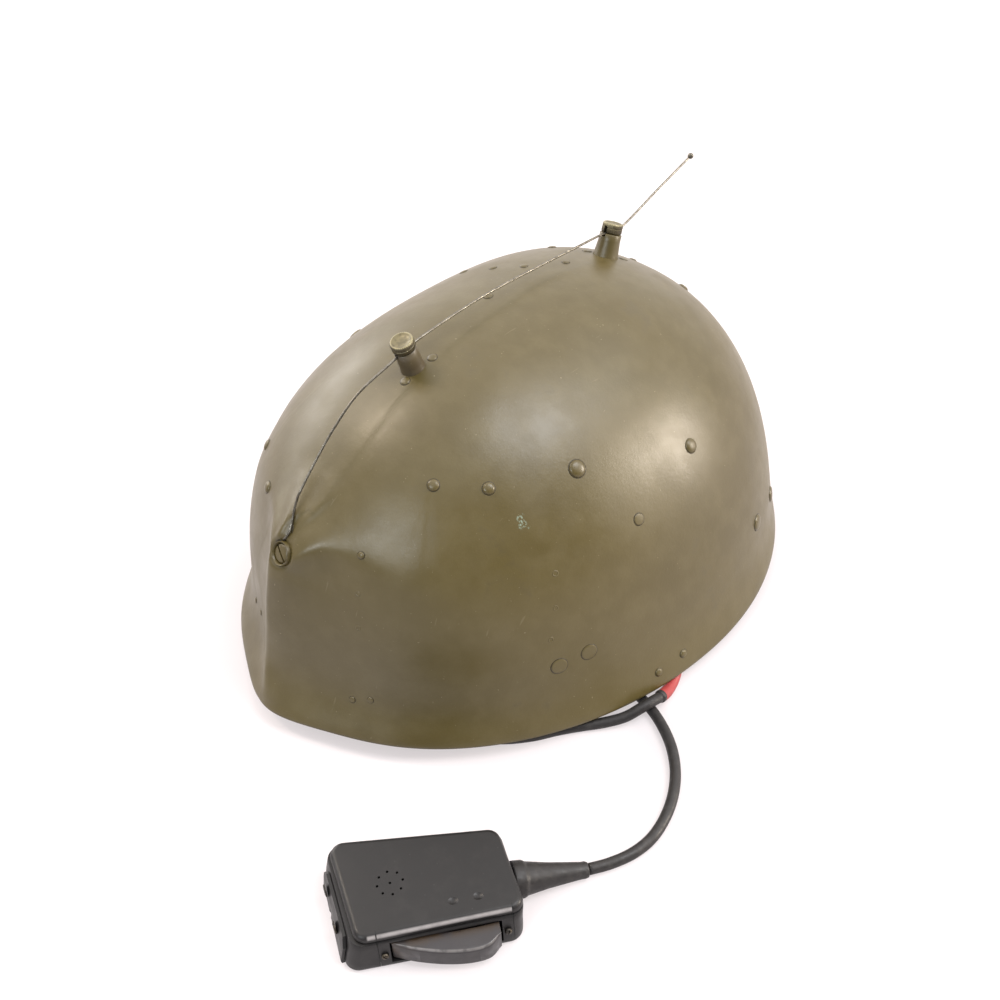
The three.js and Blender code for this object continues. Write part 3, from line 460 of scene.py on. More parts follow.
def shell_points(around, up):
    """Outer surface in the helmet's frame. around in degrees from the brow, up from 0 at the rim to 1."""
    around = np.asarray(around, float) * DEG
    up = np.asarray(up, float)
    cos = np.cos(around)
    sin = np.sin(around)
    is_front = cos > 0
    front = np.where(is_front, cos ** 2, 0)
    rear = np.where(is_front, 0, cos ** 2)
    side = sin ** 2
    quarter = 4 * front * side
    rim = RIM_RISE_REAR * np.clip(-cos, 0, 1) ** 1.5 + RIM_RISE_FRONT * front + RIM_RISE_QUARTER * quarter
    z = rim + (HEIGHT - rim) * up
    plan_front = PLAN_FRONT_TOP + (PLAN_FRONT_RIM - PLAN_FRONT_TOP) * np.exp(-(z / PLAN_FADE) ** 2)
    plan = np.where(is_front, plan_front, PLAN_REAR)
    cos_plan = np.sign(cos) * np.abs(cos) ** (2 / plan)
    sin_plan = np.sign(sin) * np.abs(sin) ** (2 / plan)
    curve = ROUND_FRONT * front + ROUND_SIDE * side + ROUND_REAR * rear
    narrow = np.clip(1 - np.clip(up, 0, 1) ** curve, 0, 1) ** (1 / curve)
    flare = FLARE_FRONT * front + FLARE_QUARTER * quarter + FLARE_SIDE * side + FLARE_REAR * rear
    flare = flare * np.exp(-(np.clip(z - rim, 0, None) / FLARE_HEIGHT) ** 1.5)
    reach = np.where(is_front, FRONT_REACH, REAR_REACH)
    x = HALF_WIDTH * narrow * sin_plan + flare * sin
    keel_up = np.exp(-((z - KEEL_TOP) / KEEL_FADE) ** 2)
    keel_share = np.where(z > KEEL_TOP, keel_up, 0.75 + 0.25 * keel_up)
    keel_half = KEEL_HALF_TOP + (KEEL_HALF_RIM - KEEL_HALF_TOP) * np.clip(1 - z / KEEL_TOP, 0, None)
    keel = np.where(is_front, KEEL_REACH * keel_share * np.exp(-(x / keel_half) ** 2), 0)
    y = -reach * narrow * cos_plan - flare * cos + CROWN_LEAN * z / HEIGHT - keel
    return np.stack([x, y, z], axis=-1)


def over_dome(around, up, out=0.0):
    """A place over the plain dome, and the dome's normal there."""
    low = min(up, 0.998)
    across = shell_points(around + 0.4, low) - shell_points(around - 0.4, low)
    along = shell_points(around, min(low + 0.002, 0.9999)) - shell_points(around, max(low - 0.002, 0))
    normal = unit(np.cross(across, along))
    return shell_points(around, up) + normal * out, normal


def to_world(points):
    """From the helmet's frame to the row frame, in millimetres."""
    points = np.asarray(points, float)
    x = points[..., 0] * math.cos(ROLL) - points[..., 2] * math.sin(ROLL)
    z = points[..., 0] * math.sin(ROLL) + points[..., 2] * math.cos(ROLL) + LIFT
    return np.stack([x, points[..., 1], z], axis=-1)


def ridge(points, rows, upright=True):
    """Height of a ridge that follows rows of (around, up, out, two widths, rounding)."""
    table = np.array(rows, float)
    line = shell_points(table[:, 0], table[:, 1])
    axis = 0 if upright else 2
    nearest = np.full(points.shape[:-1], 1e9)
    height = np.zeros(points.shape[:-1])
    for k in range(len(line) - 1):
        step = line[k + 1] - line[k]
        share = np.clip(((points - line[k]) @ step) / (step @ step), 0, 1)
        away = points - (line[k] + share[..., None] * step)
        distance = np.linalg.norm(away, axis=-1)
        out, low, high, soft = (table[k, c] + (table[k + 1, c] - table[k, c]) * share for c in (2, 3, 4, 5))
        width = np.where(away[..., axis] > 0, high, low)
        here = out * np.exp(-(np.sqrt(distance ** 2 + soft ** 2) - soft) / width)
        height = np.where(distance < nearest, here, height)
        nearest = np.minimum(distance, nearest)
    return height


def relief(points):
    """How far the pressed metal departs from the plain dome, along its normal, in millimetres."""
    points = np.asarray(points, float)
    mirrored = points * (-1, 1, 1)
    fold = np.where(points[..., 0] > 0, ridge(points, BROW_FOLD, False), ridge(mirrored, BROW_FOLD, False))
    heights = [ridge(points, KEEL_CREST), ridge(points, WIRE_BANK), fold]
    out = sum(height ** RIDGE_POWER for height in heights) ** (1 / RIDGE_POWER)
    out = out + ridge(points, WIRE_VALLEY)
    screw, normal = over_dome(0, SCREW_UP)
    away = points - screw
    across = np.linalg.norm(away - (away @ normal)[..., None] * normal, axis=-1)
    out = out * (1 - np.exp(-(across / POCKET_RADIUS) ** 10))
    return np.where(points[..., 1] < BROW_BACK, out, 0)


def dent(points):
    """Low dents all over, in millimetres."""
    flat = points.reshape(-1, 3) / DENT_SIZE
    values = np.array([noise.noise(Vector(p)) for p in flat])
    return DENT_DEPTH * values.reshape(points.shape[:-1])


def make_shell(material):
    step = np.arange(COLUMNS) / COLUMNS * 2 * math.pi
    around = (step - FRONT_DENSITY * np.sin(step)) / DEG

    def grid(rows):
        ups = np.sin(np.linspace(0, math.pi / 2, rows + 1)[:-1])
        points = shell_points(*np.meshgrid(around, ups))
        across = np.roll(points, -1, axis=1) - np.roll(points, 1, axis=1)
        return ups, points, unit(np.cross(across, np.gradient(points, axis=0)))

    _, outer, normal = grid(ROWS)
    outer = outer + normal * (relief(outer) + dent(outer))[..., None]
    ups, inner, level = grid(INNER_ROWS)
    level[..., 2] *= np.clip(ups / LEVEL_BELOW, 0, 1)[:, None]
    level = unit(level)
    inner = inner - level * WALL
    for surface in (outer, inner):
        surface[0] += (0, 0, LIP_HEIGHT)
    lip = [outer[0] - level[0] * inward - (0, 0, LIP_DROP) for inward in (WALL - LIP_INSET, LIP_INSET)]
    tops = [(0, CROWN_LEAN, HEIGHT - WALL), (0, CROWN_LEAN, HEIGHT)]
    points = np.concatenate([*inner[::-1], *lip, *outer, tops])
    faces = bands(INNER_ROWS + 2 + ROWS, COLUMNS)
    inner_top = len(points) - 2
    for i in range(COLUMNS):
        k = (i + 1) % COLUMNS
        faces.append((inner_top, k, i))
        faces.append((inner_top - COLUMNS + i, inner_top - COLUMNS + k, inner_top + 1))
    shell = mesh_object("shell_skin", to_world(points), faces, material)
    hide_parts("helmet_shell")


# Fittings of the shell

def on_relief(around, up, lift):
    """A place over the pressed metal, and the dome's normal there."""
    place, normal = over_dome(around, up)
    return place + normal * (relief(place) + lift), normal


def dome_profile(radius, height):
    return [(radius * out, height * up) for out, up in DOME_SHAPE] + [(radius, -HEAD_SUNK), (0, -HEAD_SUNK)]


def disc_profile(radius, height):
    return [
        (0, height * 0.8), (radius * 0.8, height * 0.85), (radius * 0.93, height * 0.7), (radius, 0.1),
        (radius, -HEAD_SUNK), (0, -HEAD_SUNK),
    ]


# Painted shade: a dark ring round each rivet's base where the head meets the shell
def shade_ring_profile(radius, _):
    wide = SHADE_RING_WIDTH * (0.6 + 0.1 * radius)
    return [(0, 0.02), (radius + wide * 0.6, 0.02), (radius + wide, -0.1), (radius + wide, -0.5), (0, -0.5)]


def ring_profile(radius):
    return [
        (0, -0.3), (radius * 0.45, -0.25), (radius * 0.7, 0.16), (radius, 0.14), (radius * 1.25, -0.2),
        (0, -0.6),
    ]


def heads(rows, profile, lift, sides=28):
    """Turned heads on the shell, one for each row of (around, up, sizes of its profile)."""
    parts = []
    for around, up, *sizes in rows:
        points, faces = turned(profile(*sizes), sides)
        parts.append((to_world(stand(points, *on_relief(around, up, lift))), faces))
    return merge(parts)


def make_rivets(material, shade_material):
    domes = [row[1:] for row in DOMES]
    discs = [row[1:] for row in DISCS]
    shade_rings = heads(domes + discs, shade_ring_profile, 0.06)
    mesh_object("rivet_seats", *shade_rings, shade_material)
    parts = [heads(domes, dome_profile, 0.12), heads(discs, disc_profile, 0.05)]
    rivets = mesh_object("rivet_heads", *merge(parts), material)
    sharpen(rivets, 50)
    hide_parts(*[row[0] for row in DOMES + DISCS])
    filled = mesh_object("filled_holes", *heads(RINGS, ring_profile, 0, 20), material)


def make_creases(shade_material):
    """Thin dark lines of painted shade in the sharp folds."""
    parts = []
    for rows in CREASES:
        path = [on_relief(around, up, 0.02)[0] for around, up in smooth_path(rows, 30, 8)]
        radii = CREASE_RADIUS * np.sin(np.linspace(0.25, math.pi - 0.25, len(path))) ** 0.5
        points, faces = tube(path, radii, 8)
        parts.append((to_world(points), faces))
    mesh_object("brow_creases", *merge(parts), shade_material)


def make_brow_screw(material, shade_material):
    """A slotted cheese head, sunk a little in a pressed cup."""
    def placing(points):
        return to_world(stand(points, *over_dome(0, SCREW_UP)))

    top = SCREW_HEIGHT
    radius = SCREW_RADIUS
    profile = [
        (0, top), (radius * 0.5, top - 0.03), (radius - 0.8, top - 0.15), (radius - 0.3, top - 0.4),
        (radius, top - 0.9), (radius, 0.1), (0, 0.1),
    ]
    screw = mesh_object("brow_screw_head", *turned(profile, 48), material)
    slot, slot_faces = block(-SLOT_WIDTH / 2, SLOT_WIDTH / 2, -9, 9, top - SLOT_DEPTH, 5)
    cut(screw, rotated(slot, SLOT_TURN, "Z"), slot_faces)
    move(screw, placing)
    sharpen(screw, 40)
    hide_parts("brow_screw")
    profile = [
        (0, 0.3), (CUP_INNER, 0.3), (CUP_INNER, 0.9), (CUP_INNER + 0.3, CUP_HEIGHT - 0.35),
        (CUP_INNER + 0.7, CUP_HEIGHT), (CUP_OUTER - 0.3, CUP_HEIGHT - 0.1), (CUP_OUTER, CUP_HEIGHT - 0.8),
        (CUP_OUTER + 0.3, -1), (0, -1),
    ]
    points, faces = turned(profile, 48)
    cup = mesh_object("brow_screw_cup", placing(points), faces, material)
    sharpen(cup, 50)
    # A dark disc under the head: painted shade in the gap between the head and its cup
    points, faces = turned([(0, 0.2), (CUP_INNER - 0.05, 0.2), (CUP_INNER - 0.05, 0.6), (0, 0.6)], 48)
    gap = mesh_object("brow_screw_gap", placing(points), faces, shade_material)


def at_post(post, points):
    """Points that stand along +Z, moved to stand at a post in the helmet's frame."""
    return stand(points, *over_dome(post["around"], post["up"], POST_LIFT))


def make_posts(body_materials, cap_material):
    for post, body_material in zip(POSTS, body_materials):
        height = post["height"]
        base = post["foot"]
        stem = post["stem"]
        profile = [
            (0, height), (stem - 0.45, height), (stem - 0.2, height - 0.08), (stem, height - 0.3), (stem, 7),
            (stem + 0.15, 5.4), ((base + stem) / 2, 3.4), (base - 0.15, 1.6), (base, 0.9), (base + 0.1, 0.2),
            (base + 0.3, -0.7), (0, -0.7),
        ]
        body = mesh_object(post["name"] + "_stem", *turned(profile, 40), body_material)
        groove = (-GROOVE_WIDTH / 2, GROOVE_WIDTH / 2, -9, 9)
        cut(body, *block(*groove, post["groove"], 20))
        low = height + GAP
        high = low + CAP_HEIGHT
        rim = post["cap"]
        rise = post["rise"]
        profile = [(rim * share, high - down) for share, down in CAP_DISH] + [
            (rim - 0.18, high - 2.15), (rim - 0.18, high - 2.35), (rim, high - 2.5), (rim, low + rise + 0.5),
            (rim - 0.15, low + rise + 0.2), (rim - 0.5, low + rise),
        ]
        if rise:
            profile.extend([(rim - CAP_NECK, low + rise), (rim - CAP_NECK, low)])
        profile.append((0, low))
        knob = turned(profile, 144, KNURL_DEPTH, KNURL_TEETH)
        cap = mesh_object(post["name"] + "_knob", *knob, cap_material)
        if post["slot"]:
            cut(cap, *block(*groove, low - 1, low + post["slot"]))
        for piece, node, slot in ((body, "_body", "fastener"), (cap, "_cap", "post_cap")):
            move(piece, lambda points: to_world(at_post(post, points)))
            sharpen(piece, 45)
            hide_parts(post["name"] + node)


def make_antenna(material):
    front, rear = POSTS
    path = smooth_path([
        *(over_dome(*row)[0] for row in WIRE_FOOT),
        (0, -128.9, 108.8), (0, -118.2, 120.2), (0, -105.3, 132.2), (0, -91.2, 142),
        *at_post(front, [(0, -10, 9.8), (0, -4, 9.9), (0, 4, 9.9)]),
        (-1, -39.2, 153.3), (-2.2, -14.1, 154), (-4, 23.2, 151.9), (-5.2, 47.3, 150.1),
        *at_post(rear, [(0, -5.2, 10.1), (0, 0, 11), (0, 5.2, 12.6)]),
        (-8.1, 107.6, 155.6), (-9.2, 130.1, 162.3),
    ], 260)
    points, faces = tube(path, WIRE_RADIUS, 14)
    wire = mesh_object("aerial", to_world(points), faces, material)
    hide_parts("antenna_wire")
    end = unit(path[-1] - path[-2])
    turns = np.linspace(0, math.pi, 11)
    profile = [(TIP_RADIUS * math.sin(turn), TIP_RADIUS * (1 + math.cos(turn))) for turn in turns]
    points, faces = turned(profile, 20)
    ball = mesh_object("aerial_ball", to_world(stand(points, path[-1] - end * 0.2, end)), faces, material)
    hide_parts("antenna_tip")


# Cable

def make_cable(rubber, red, steel):
    samples, along = centripetal(CABLE_ROUTE)
    sleeve_end = FERRULE_LENGTH + SLEEVE_LENGTH
    path = stretch(samples, along, sleeve_end + SLEEVE_TO_CABLE, along[-1], 300)
    cable = mesh_object("cable_run", *tube(path, CABLE_RADIUS), rubber)
    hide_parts("cable")

    def fitting(name, start, end, radii, material):
        points, faces = tube(stretch(samples, along, start, end, len(radii)), radii, 24)
        made = mesh_object(name, points, faces, material)
        sharpen(made)
        return made

    radii = np.interp(np.linspace(0, 1, 24), [0, 0.3, 0.55, 1], [4, 4, 2.7, 2.7])
    ferrule = fitting("cable_end_fitting", 0, FERRULE_LENGTH + 0.5, radii, steel)
    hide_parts("cable_ferrule")

    radii = SLEEVE_RADIUS + 0.12 * np.sin(np.linspace(0, 9, 30)) * np.linspace(0.3, 1, 30)
    sleeve = fitting("sleeve", FERRULE_LENGTH, sleeve_end, np.minimum(radii, SLEEVE_RADIUS + 0.05), red)
    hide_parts("red_sleeve")

    collar = fitting("sleeve_collar", sleeve_end - 0.6, sleeve_end + 1.5, COLLAR_RADII, rubber)

    cone = make_relief(rubber)


def end_wall(y, z):
    """Outside of the box at the cable's end, along x, for each y and height."""
    levels = HOUSING_LEVELS[:-1] + [(LID_SEAM, LID_OUT, 0), (BOX_HEIGHT, LID_OUT, 0)]
    height, out, share = np.array(levels, float).T
    walls = []
    for corners in (BOX_CORNERS, BASE_CORNERS):
        (low_x, low_y), (high_x, high_y) = corners[1:3]
        walls.append(low_x + (y - low_y) * (high_x - low_x) / (high_y - low_y))
    upper, lower = walls
    return upper + (lower - upper) * np.interp(z, height, share) + np.interp(z, height, out)


def make_relief(rubber):
    """The tapered rubber at the box, with a ragged edge at both ends."""
    start, end = np.array([RELIEF_FROM, RELIEF_TO], float)
    length = math.dist(start, end)
    reach, radius = np.array(RELIEF_PROFILE, float).T
    steps = np.linspace(3, length, RELIEF_RINGS)
    path = start + (end - start) * (steps / length)[:, None]
    points, faces = tube(path, np.interp(steps, reach, radius), RELIEF_SIDES)
    rings = points.reshape(RELIEF_RINGS, RELIEF_SIDES, 3)
    for k in range(RELIEF_RINGS):
        near_box = max(0, 1 - abs(k - 3) / 4)
        near_end = max(0, 1 - abs(k - (RELIEF_RINGS - 3)) / 3)
        for i in range(RELIEF_SIDES):
            wave = noise.noise(Vector((i * 1.7, k * 0.6, 3.1)))
            out = (0.35 * near_box + 0.3 * near_end) * max(0, wave + 0.35)
            rings[k, i] += unit(rings[k, i] - path[k]) * out
    points[:, 2] = np.maximum(points[:, 2], 0.02)
    points[:, 0] = np.maximum(points[:, 0], end_wall(points[:, 1], points[:, 2]) + 0.2)
    relief_piece = mesh_object("cable_boot", box_world(points), faces, rubber)
    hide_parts("strain_relief")
    return relief_piece


# Control box

def flat_frame(origin, direction):
    """A placing from beside a line in plan, x along it, to the frame that the line is told in."""
    along_x, along_y = unit(np.array(direction, float))

    def place(points):
        points = np.asarray(points, float)
        x = origin[0] + points[:, 0] * along_x - points[:, 1] * along_y
        y = origin[1] + points[:, 0] * along_y + points[:, 1] * along_x
        return np.stack([x, y, points[:, 2]], axis=1)

    return place


def edge_frame(start, end, middle):
    """Beside an edge of the box, x along it from its middle and -y outward, to the box's frame."""
    along = unit(np.subtract(end, start))
    return flat_frame(start + along * middle, along)


box_world = flat_frame(BOX_PLACE, (math.cos(BOX_TURN), math.sin(BOX_TURN)))
at_side = edge_frame(BOX_CORNERS[0], BOX_CORNERS[1], -BOX_CORNERS[0][0])
at_end = edge_frame(BOX_CORNERS[3], BOX_CORNERS[0], 0)


def rounded_outline(corners, radius, out):
    """An outline with its corners rounded by a radius, then moved out all round."""
    outline = []
    for i, corner in enumerate(corners):
        arrive = unit(corner - corners[i - 1])
        leave = unit(corners[(i + 1) % len(corners)] - corner)
        first = np.array((arrive[1], -arrive[0]))
        last = np.array((leave[1], -leave[0]))
        centre = corner - (first + last) * radius / (1 + first @ last)
        from_turn = math.atan2(first[1], first[0])
        for turn in from_turn + np.linspace(0, math.acos(first @ last), BOX_CORNER_STEPS + 1):
            outline.append(centre + (radius + out) * np.array((math.cos(turn), math.sin(turn))))
    return outline


def box_loft(levels):
    """The box between levels of (height, how far out, share of the base outline)."""
    upper = np.array(BOX_CORNERS, float)
    lower = np.array(BASE_CORNERS, float)
    points = []
    for height, out, share in levels:
        outline = rounded_outline(upper + (lower - upper) * share, BOX_CORNER_RADIUS + share, out)
        points.extend((x, y, height) for x, y in outline)
    return box_world(points), closed_bands(len(levels), len(outline))


def side_block(*limits):
    """A block in the frame of the lever's side."""
    points, faces = block(*limits)
    return box_world(at_side(points)), faces


def make_housing(plastic):
    housing = mesh_object("case_back", *box_loft(HOUSING_LEVELS), plastic)
    cut(housing, *side_block(SIDE_FROM, SIDE_TO, -20, SIDE_DEPTH, -5, 30))
    sharpen(housing)
    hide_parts("box_housing")


def make_lid(plastic):
    lid = mesh_object("case_lid", *box_loft(LID_LEVELS), plastic)
    hole = SOUND_HOLE
    places = [(hole["x"], hole["y"], 0)]
    for i in range(hole["count"]):
        turn = hole["turn"] + 2 * math.pi * i / hole["count"]
        x = hole["x"] + hole["ring"] * math.cos(turn)
        y = hole["y"] + hole["ring"] * math.sin(turn)
        places.append((x, y, 0))
    low = BOX_HEIGHT - hole["depth"]
    points, faces = turned([(0, low), (hole["radius"], low), (hole["radius"], 25), (0, 25)], 16)
    parts = [(box_world(points + place), faces) for place in places]
    profile = [
        (DIMPLE_RADIUS * share, BOX_HEIGHT - 0.45 + 0.47 * share ** 2) for share in np.linspace(0, 1, 7)]
    points, faces = turned([*profile, (DIMPLE_RADIUS, BOX_HEIGHT + 9), (0, BOX_HEIGHT + 9)], 24)
    parts.extend((box_world(points * (1, 0.82, 1) + (x, y, 0)), faces) for x, y in DIMPLES)
    cut(lid, *merge(parts))
    sharpen(lid, 30)
    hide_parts("box_lid")


def make_lever_plate(plastic):
    plate = mesh_object("lever_frame", *box_loft(HOUSING_LEVELS), plastic)
    outside = [
        (-60, SIDE_FROM + SEAM, -30, 60, -5, 30), (SIDE_TO - SEAM, 60, -30, 60, -5, 30),
        (-61, 61, SIDE_DEPTH - GAP, 60, -6, 31), (-62, 62, -31, 61, -7, PLATE_LOW),
        (WINDOW["start"], WINDOW["end"], -32, 20, WINDOW["low"], WINDOW["high"]),
    ]
    for limits in outside:
        cut(plate, *side_block(*limits))
    sharpen(plate)
    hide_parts("lever_plate")


def make_lever(material):
    outer = smooth_path(LEVER_BOW, 30)
    outline = np.vstack([outer, smooth_path(LEVER_BACK, 24, 8)])
    along = unit(np.gradient(outer, axis=0))
    fade = np.sqrt(np.sin(np.linspace(0, math.pi, len(outer))))
    inward = np.zeros_like(outline)
    inward[:len(outer)] = np.stack([-along[:, 1], along[:, 0]], axis=1) * fade[:, None]
    levels = [(LEVER_LOW, 0.5), (LEVER_LOW + 0.5, 0)]
    for turn in np.linspace(0, math.pi / 2, 7):
        levels.append((LEVER_HIGH - LEVER_ROUND * (1 - math.sin(turn)), LEVER_ROUND * (1 - math.cos(turn))))
    points = [(x, y, z) for z, inset in levels for x, y in outline + inward * inset]
    faces = closed_bands(len(levels), len(outline))
    lever = mesh_object("press_lever", box_world(at_side(points)), faces, material, "talk_lever")
    bevel(lever, 0.35, 2, 40)
    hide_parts("talk_lever")


def make_box_screws(steel):
    screws = [
        ("side_screw_a", at_side, SIDE_SCREWS[0], 1.5, 35, 0.9),
        ("side_screw_b", at_side, SIDE_SCREWS[1], 1.5, -20, 0.9),
        ("end_screw_a", at_end, END_SCREWS[0], 2.6, 60, 0.55),
        ("end_screw_b", at_end, END_SCREWS[1], 2.6, 15, 0.55),
    ]
    for name, place, (along, out, height), radius, turn, head in screws:
        profile = [(radius * share, head * up) for share, up in SCREW_SHAPE] + [(radius, -0.3), (0, -0.3)]
        screw = mesh_object(name + "_head", *turned(profile, 28), steel)
        slot, slot_faces = block(-0.28, 0.28, -4, 4, head / 2, 2)
        cut(screw, rotated(slot, turn * DEG, "Z"), slot_faces)
        move(screw, lambda points: box_world(place(rotated(points, 90 * DEG, "X") + (along, -out, height))))
        sharpen(screw, 40)
        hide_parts(name)


# Nodes of a material. An input is a plain value or the output of another node

# The mix node's sockets for colours, by their number
MIX_COLOR_A = 6
MIX_COLOR_B = 7
MIX_COLOR_RESULT = 2


def node(tree, kind, inputs, **values):
    """A new node's outputs, its inputs set or linked."""
    made = tree.nodes.new(kind)
    for key, value in values.items():
        setattr(made, key, value)
    for key, value in inputs.items():
        if isinstance(value, bpy.types.NodeSocket):
            tree.links.new(value, made.inputs[key])
        else:
            made.inputs[key].default_value = value
    return made.outputs


def own_place(tree):
    """The surface's own coordinates, in metres."""
    return node(tree, "ShaderNodeTexCoord", {})["Object"]


def noise_value(tree, scale, detail=4, grain=0.5, stretched=(1, 1, 1), turn=(0, 0, 0)):
    place = {"Vector": own_place(tree), "Scale": stretched, "Rotation": turn}
    vector = node(tree, "ShaderNodeMapping", place)["Vector"]
    inputs = {"Vector": vector, "Scale": scale, "Detail": detail, "Roughness": grain}
    return node(tree, "ShaderNodeTexNoise", inputs)["Fac"]


def ramp(tree, value, low, high, from_value=0.0, to_value=1.0):
    """A value mapped from low..high to from_value..to_value, smooth and clamped."""
    inputs = {"Value": value, "From Min": low, "From Max": high, "To Min": from_value, "To Max": to_value}
    return node(tree, "ShaderNodeMapRange", inputs, interpolation_type="SMOOTHSTEP")["Result"]


def arithmetic(tree, operation, first, second=0):
    return node(tree, "ShaderNodeMath", {0: first, 1: second}, operation=operation)["Value"]


def times(tree, first, second):
    return arithmetic(tree, "MULTIPLY", first, second)


def blend_color(tree, share, first, second):
    """Mix two colours, each a tuple or a socket."""
    first, second = ((*color, 1) if isinstance(color, tuple) else color for color in (first, second))
    inputs = {"Factor": share, MIX_COLOR_A: first, MIX_COLOR_B: second}
    return node(tree, "ShaderNodeMix", inputs, data_type="RGBA")[MIX_COLOR_RESULT]


def layered(tree, color, layers):
    """Patches over a colour, from rows of colour, noise scale and detail, from, to, share and noise form."""
    for patch, scale, detail, low, high, share, *form in layers:
        spread = ramp(tree, noise_value(tree, scale, detail, *form), low, high, 0, share)
        color = blend_color(tree, spread, color, patch)
    return color


def facing_up(tree):
    normal = node(tree, "ShaderNodeNewGeometry", {})["Normal"]
    return node(tree, "ShaderNodeSeparateXYZ", {"Vector": normal})["Z"]


def box_axes(tree):
    """Along the box, inward from its lever side, and up, in metres."""
    inputs = {
        "Vector": own_place(tree), "Location": (BOX_PLACE[0] * MM, BOX_PLACE[1] * MM, 0),
        "Rotation": (0, 0, BOX_TURN)}
    vector = node(tree, "ShaderNodeMapping", inputs, vector_type="TEXTURE")["Vector"]
    axes = node(tree, "ShaderNodeSeparateXYZ", {"Vector": vector})
    (start_x, start_y), (end_x, end_y) = BOX_CORNERS[:2]
    slope = (end_y - start_y) / (end_x - start_x)
    inward = arithmetic(tree, "SUBTRACT", axes["Y"], times(tree, axes["X"], slope))
    return axes["X"], arithmetic(tree, "SUBTRACT", inward, (start_y - slope * start_x) * MM), axes["Z"]


# Materials

# Colours are linear
OLIVE_DARK = (0.056, 0.041, 0.0095)
OLIVE_LIGHT = (0.072, 0.054, 0.0155)
OLIVE_FADED = (0.105, 0.084, 0.036)
STEM_DARK = (0.05, 0.037, 0.02)
STEM_LIGHT = (0.078, 0.062, 0.037)
SPECK = (0.30, 0.26, 0.17)
GRIME = (0.038, 0.028, 0.010)
CHIP = (0.22, 0.30, 0.24)
CHIP_REACH = 0.0072
CHIP_WOBBLE = 0.0105
CHIP_PLACE = tuple(to_world(np.array((74.0, -70.0, 101.0))) * MM)
CASE_BLACK = (0.0095, 0.0088, 0.009)
CASE_DUSTY = (0.018, 0.0165, 0.016)
CASE_SPECK = (0.10, 0.095, 0.09)
# Pale colour of the painted highlight on the lid's rounded near edge
LIP_HIGHLIGHT = (0.25, 0.235, 0.235)
LIP_SEAM = (0.003, 0.003, 0.003)
LEVER_BLACK = (0.022, 0.0205, 0.023)
LEVER_BROWN = (0.034, 0.021, 0.011)
# Pale colour of the painted highlight along the lever's rounded edge
LEVER_RIDGE_HIGHLIGHT = (0.13, 0.122, 0.12)
BRASS = (0.13, 0.109, 0.054)
BRASS_PAINTED = (0.08, 0.066, 0.032)
# Darker brass of the painted shade on the caps' flanks
BRASS_FLANK_SHADE = (0.036, 0.027, 0.014)
# Bright brass of the caps' upper edges, partly wear and partly painted highlight
BRASS_EDGE_WEAR_AND_HIGHLIGHT = (0.42, 0.375, 0.225)
SLEEVE_RED = (0.285, 0.034, 0.033)
SLEEVE_WORN = (0.2, 0.024, 0.024)


def new_material(name, color, roughness, metallic=0.0, specular=0.5):
    material = bpy.data.materials.new(name)
    material.use_nodes = True
    shader = material.node_tree.nodes["Principled BSDF"]
    shader.inputs["Base Color"].default_value = (*color, 1)
    shader.inputs["Roughness"].default_value = roughness
    shader.inputs["Metallic"].default_value = metallic
    shader.inputs["Specular IOR Level"].default_value = specular
    return material, material.node_tree, shader


def wire_shader(tree, shader, color, gloss, bumps, rougher=None):
    """Wire up a colour, a roughness that varies between two values, and bumps one on another.

    gloss is noise scale and detail, the two values and the noise's form. A bump is noise scale and
    detail, depth in metres and the noise's form.
    """
    scale, detail, low, high, *form = gloss
    roughness = ramp(tree, noise_value(tree, scale, detail, *form), 0.3, 0.7, low, high)
    if rougher:
        roughness = arithmetic(tree, "ADD", roughness, rougher)
    normal = {}
    for scale, detail, depth, *form in bumps:
        height = noise_value(tree, scale, detail, *form)
        inputs = {"Height": height, "Strength": 1, "Distance": depth, **normal}
        normal = {"Normal": node(tree, "ShaderNodeBump", inputs)["Normal"]}
    for key, value in {"Base Color": color, "Roughness": roughness, **normal}.items():
        tree.links.new(value, shader.inputs[key])


def patched_material(name, color, layers, gloss, bump, roughness, metallic=0.0, specular=0.5):
    """A colour with patches of others, without anything special."""
    material, tree, shader = new_material(name, color, roughness, metallic, specular)
    wire_shader(tree, shader, layered(tree, color, layers), gloss, [bump])
    return material


def metal_material(name, color, worn, roughness):
    layers = [(worn, 400, 5, 0.4, 0.65, 1, 0.6)]
    gloss = (800, 4, roughness - 0.08, roughness + 0.14)
    return patched_material(name, color, layers, gloss, (1200, 3, 0.00002), roughness, 0.85)


def rubber_material(name, color, dusty):
    layers = [(dusty, 240, 6, 0.45, 0.75, 0.5, 0.7)]
    return patched_material(name, color, layers, (320, 4, 0.38, 0.6), (900, 4, 0.00003), 0.5, 0, 0.32)


def sleeve_material():
    layers = [(SLEEVE_WORN, 380, 5, 0.42, 0.7, 0.5)]
    return patched_material(
        "sleeve_red", SLEEVE_RED, layers, (300, 3, 0.34, 0.5), (700, 3, 0.00003), 0.42, 0, 0.4)


def pale_chip(tree):
    """1 where the paint is chipped, in streaks near one place with an uneven edge."""
    distance = node(
        tree, "ShaderNodeVectorMath", {0: own_place(tree), 1: CHIP_PLACE}, operation="DISTANCE")["Value"]
    distance = arithmetic(tree, "ADD", distance, times(tree, noise_value(tree, 420, 3), CHIP_WOBBLE))
    streaks = ramp(tree, noise_value(tree, 1300, 3, 0.6, (1, 1, 0.3)), 0.48, 0.6, 0, 0.6)
    return times(tree, ramp(tree, distance, CHIP_REACH - 0.001, CHIP_REACH + 0.001, 1, 0), streaks)


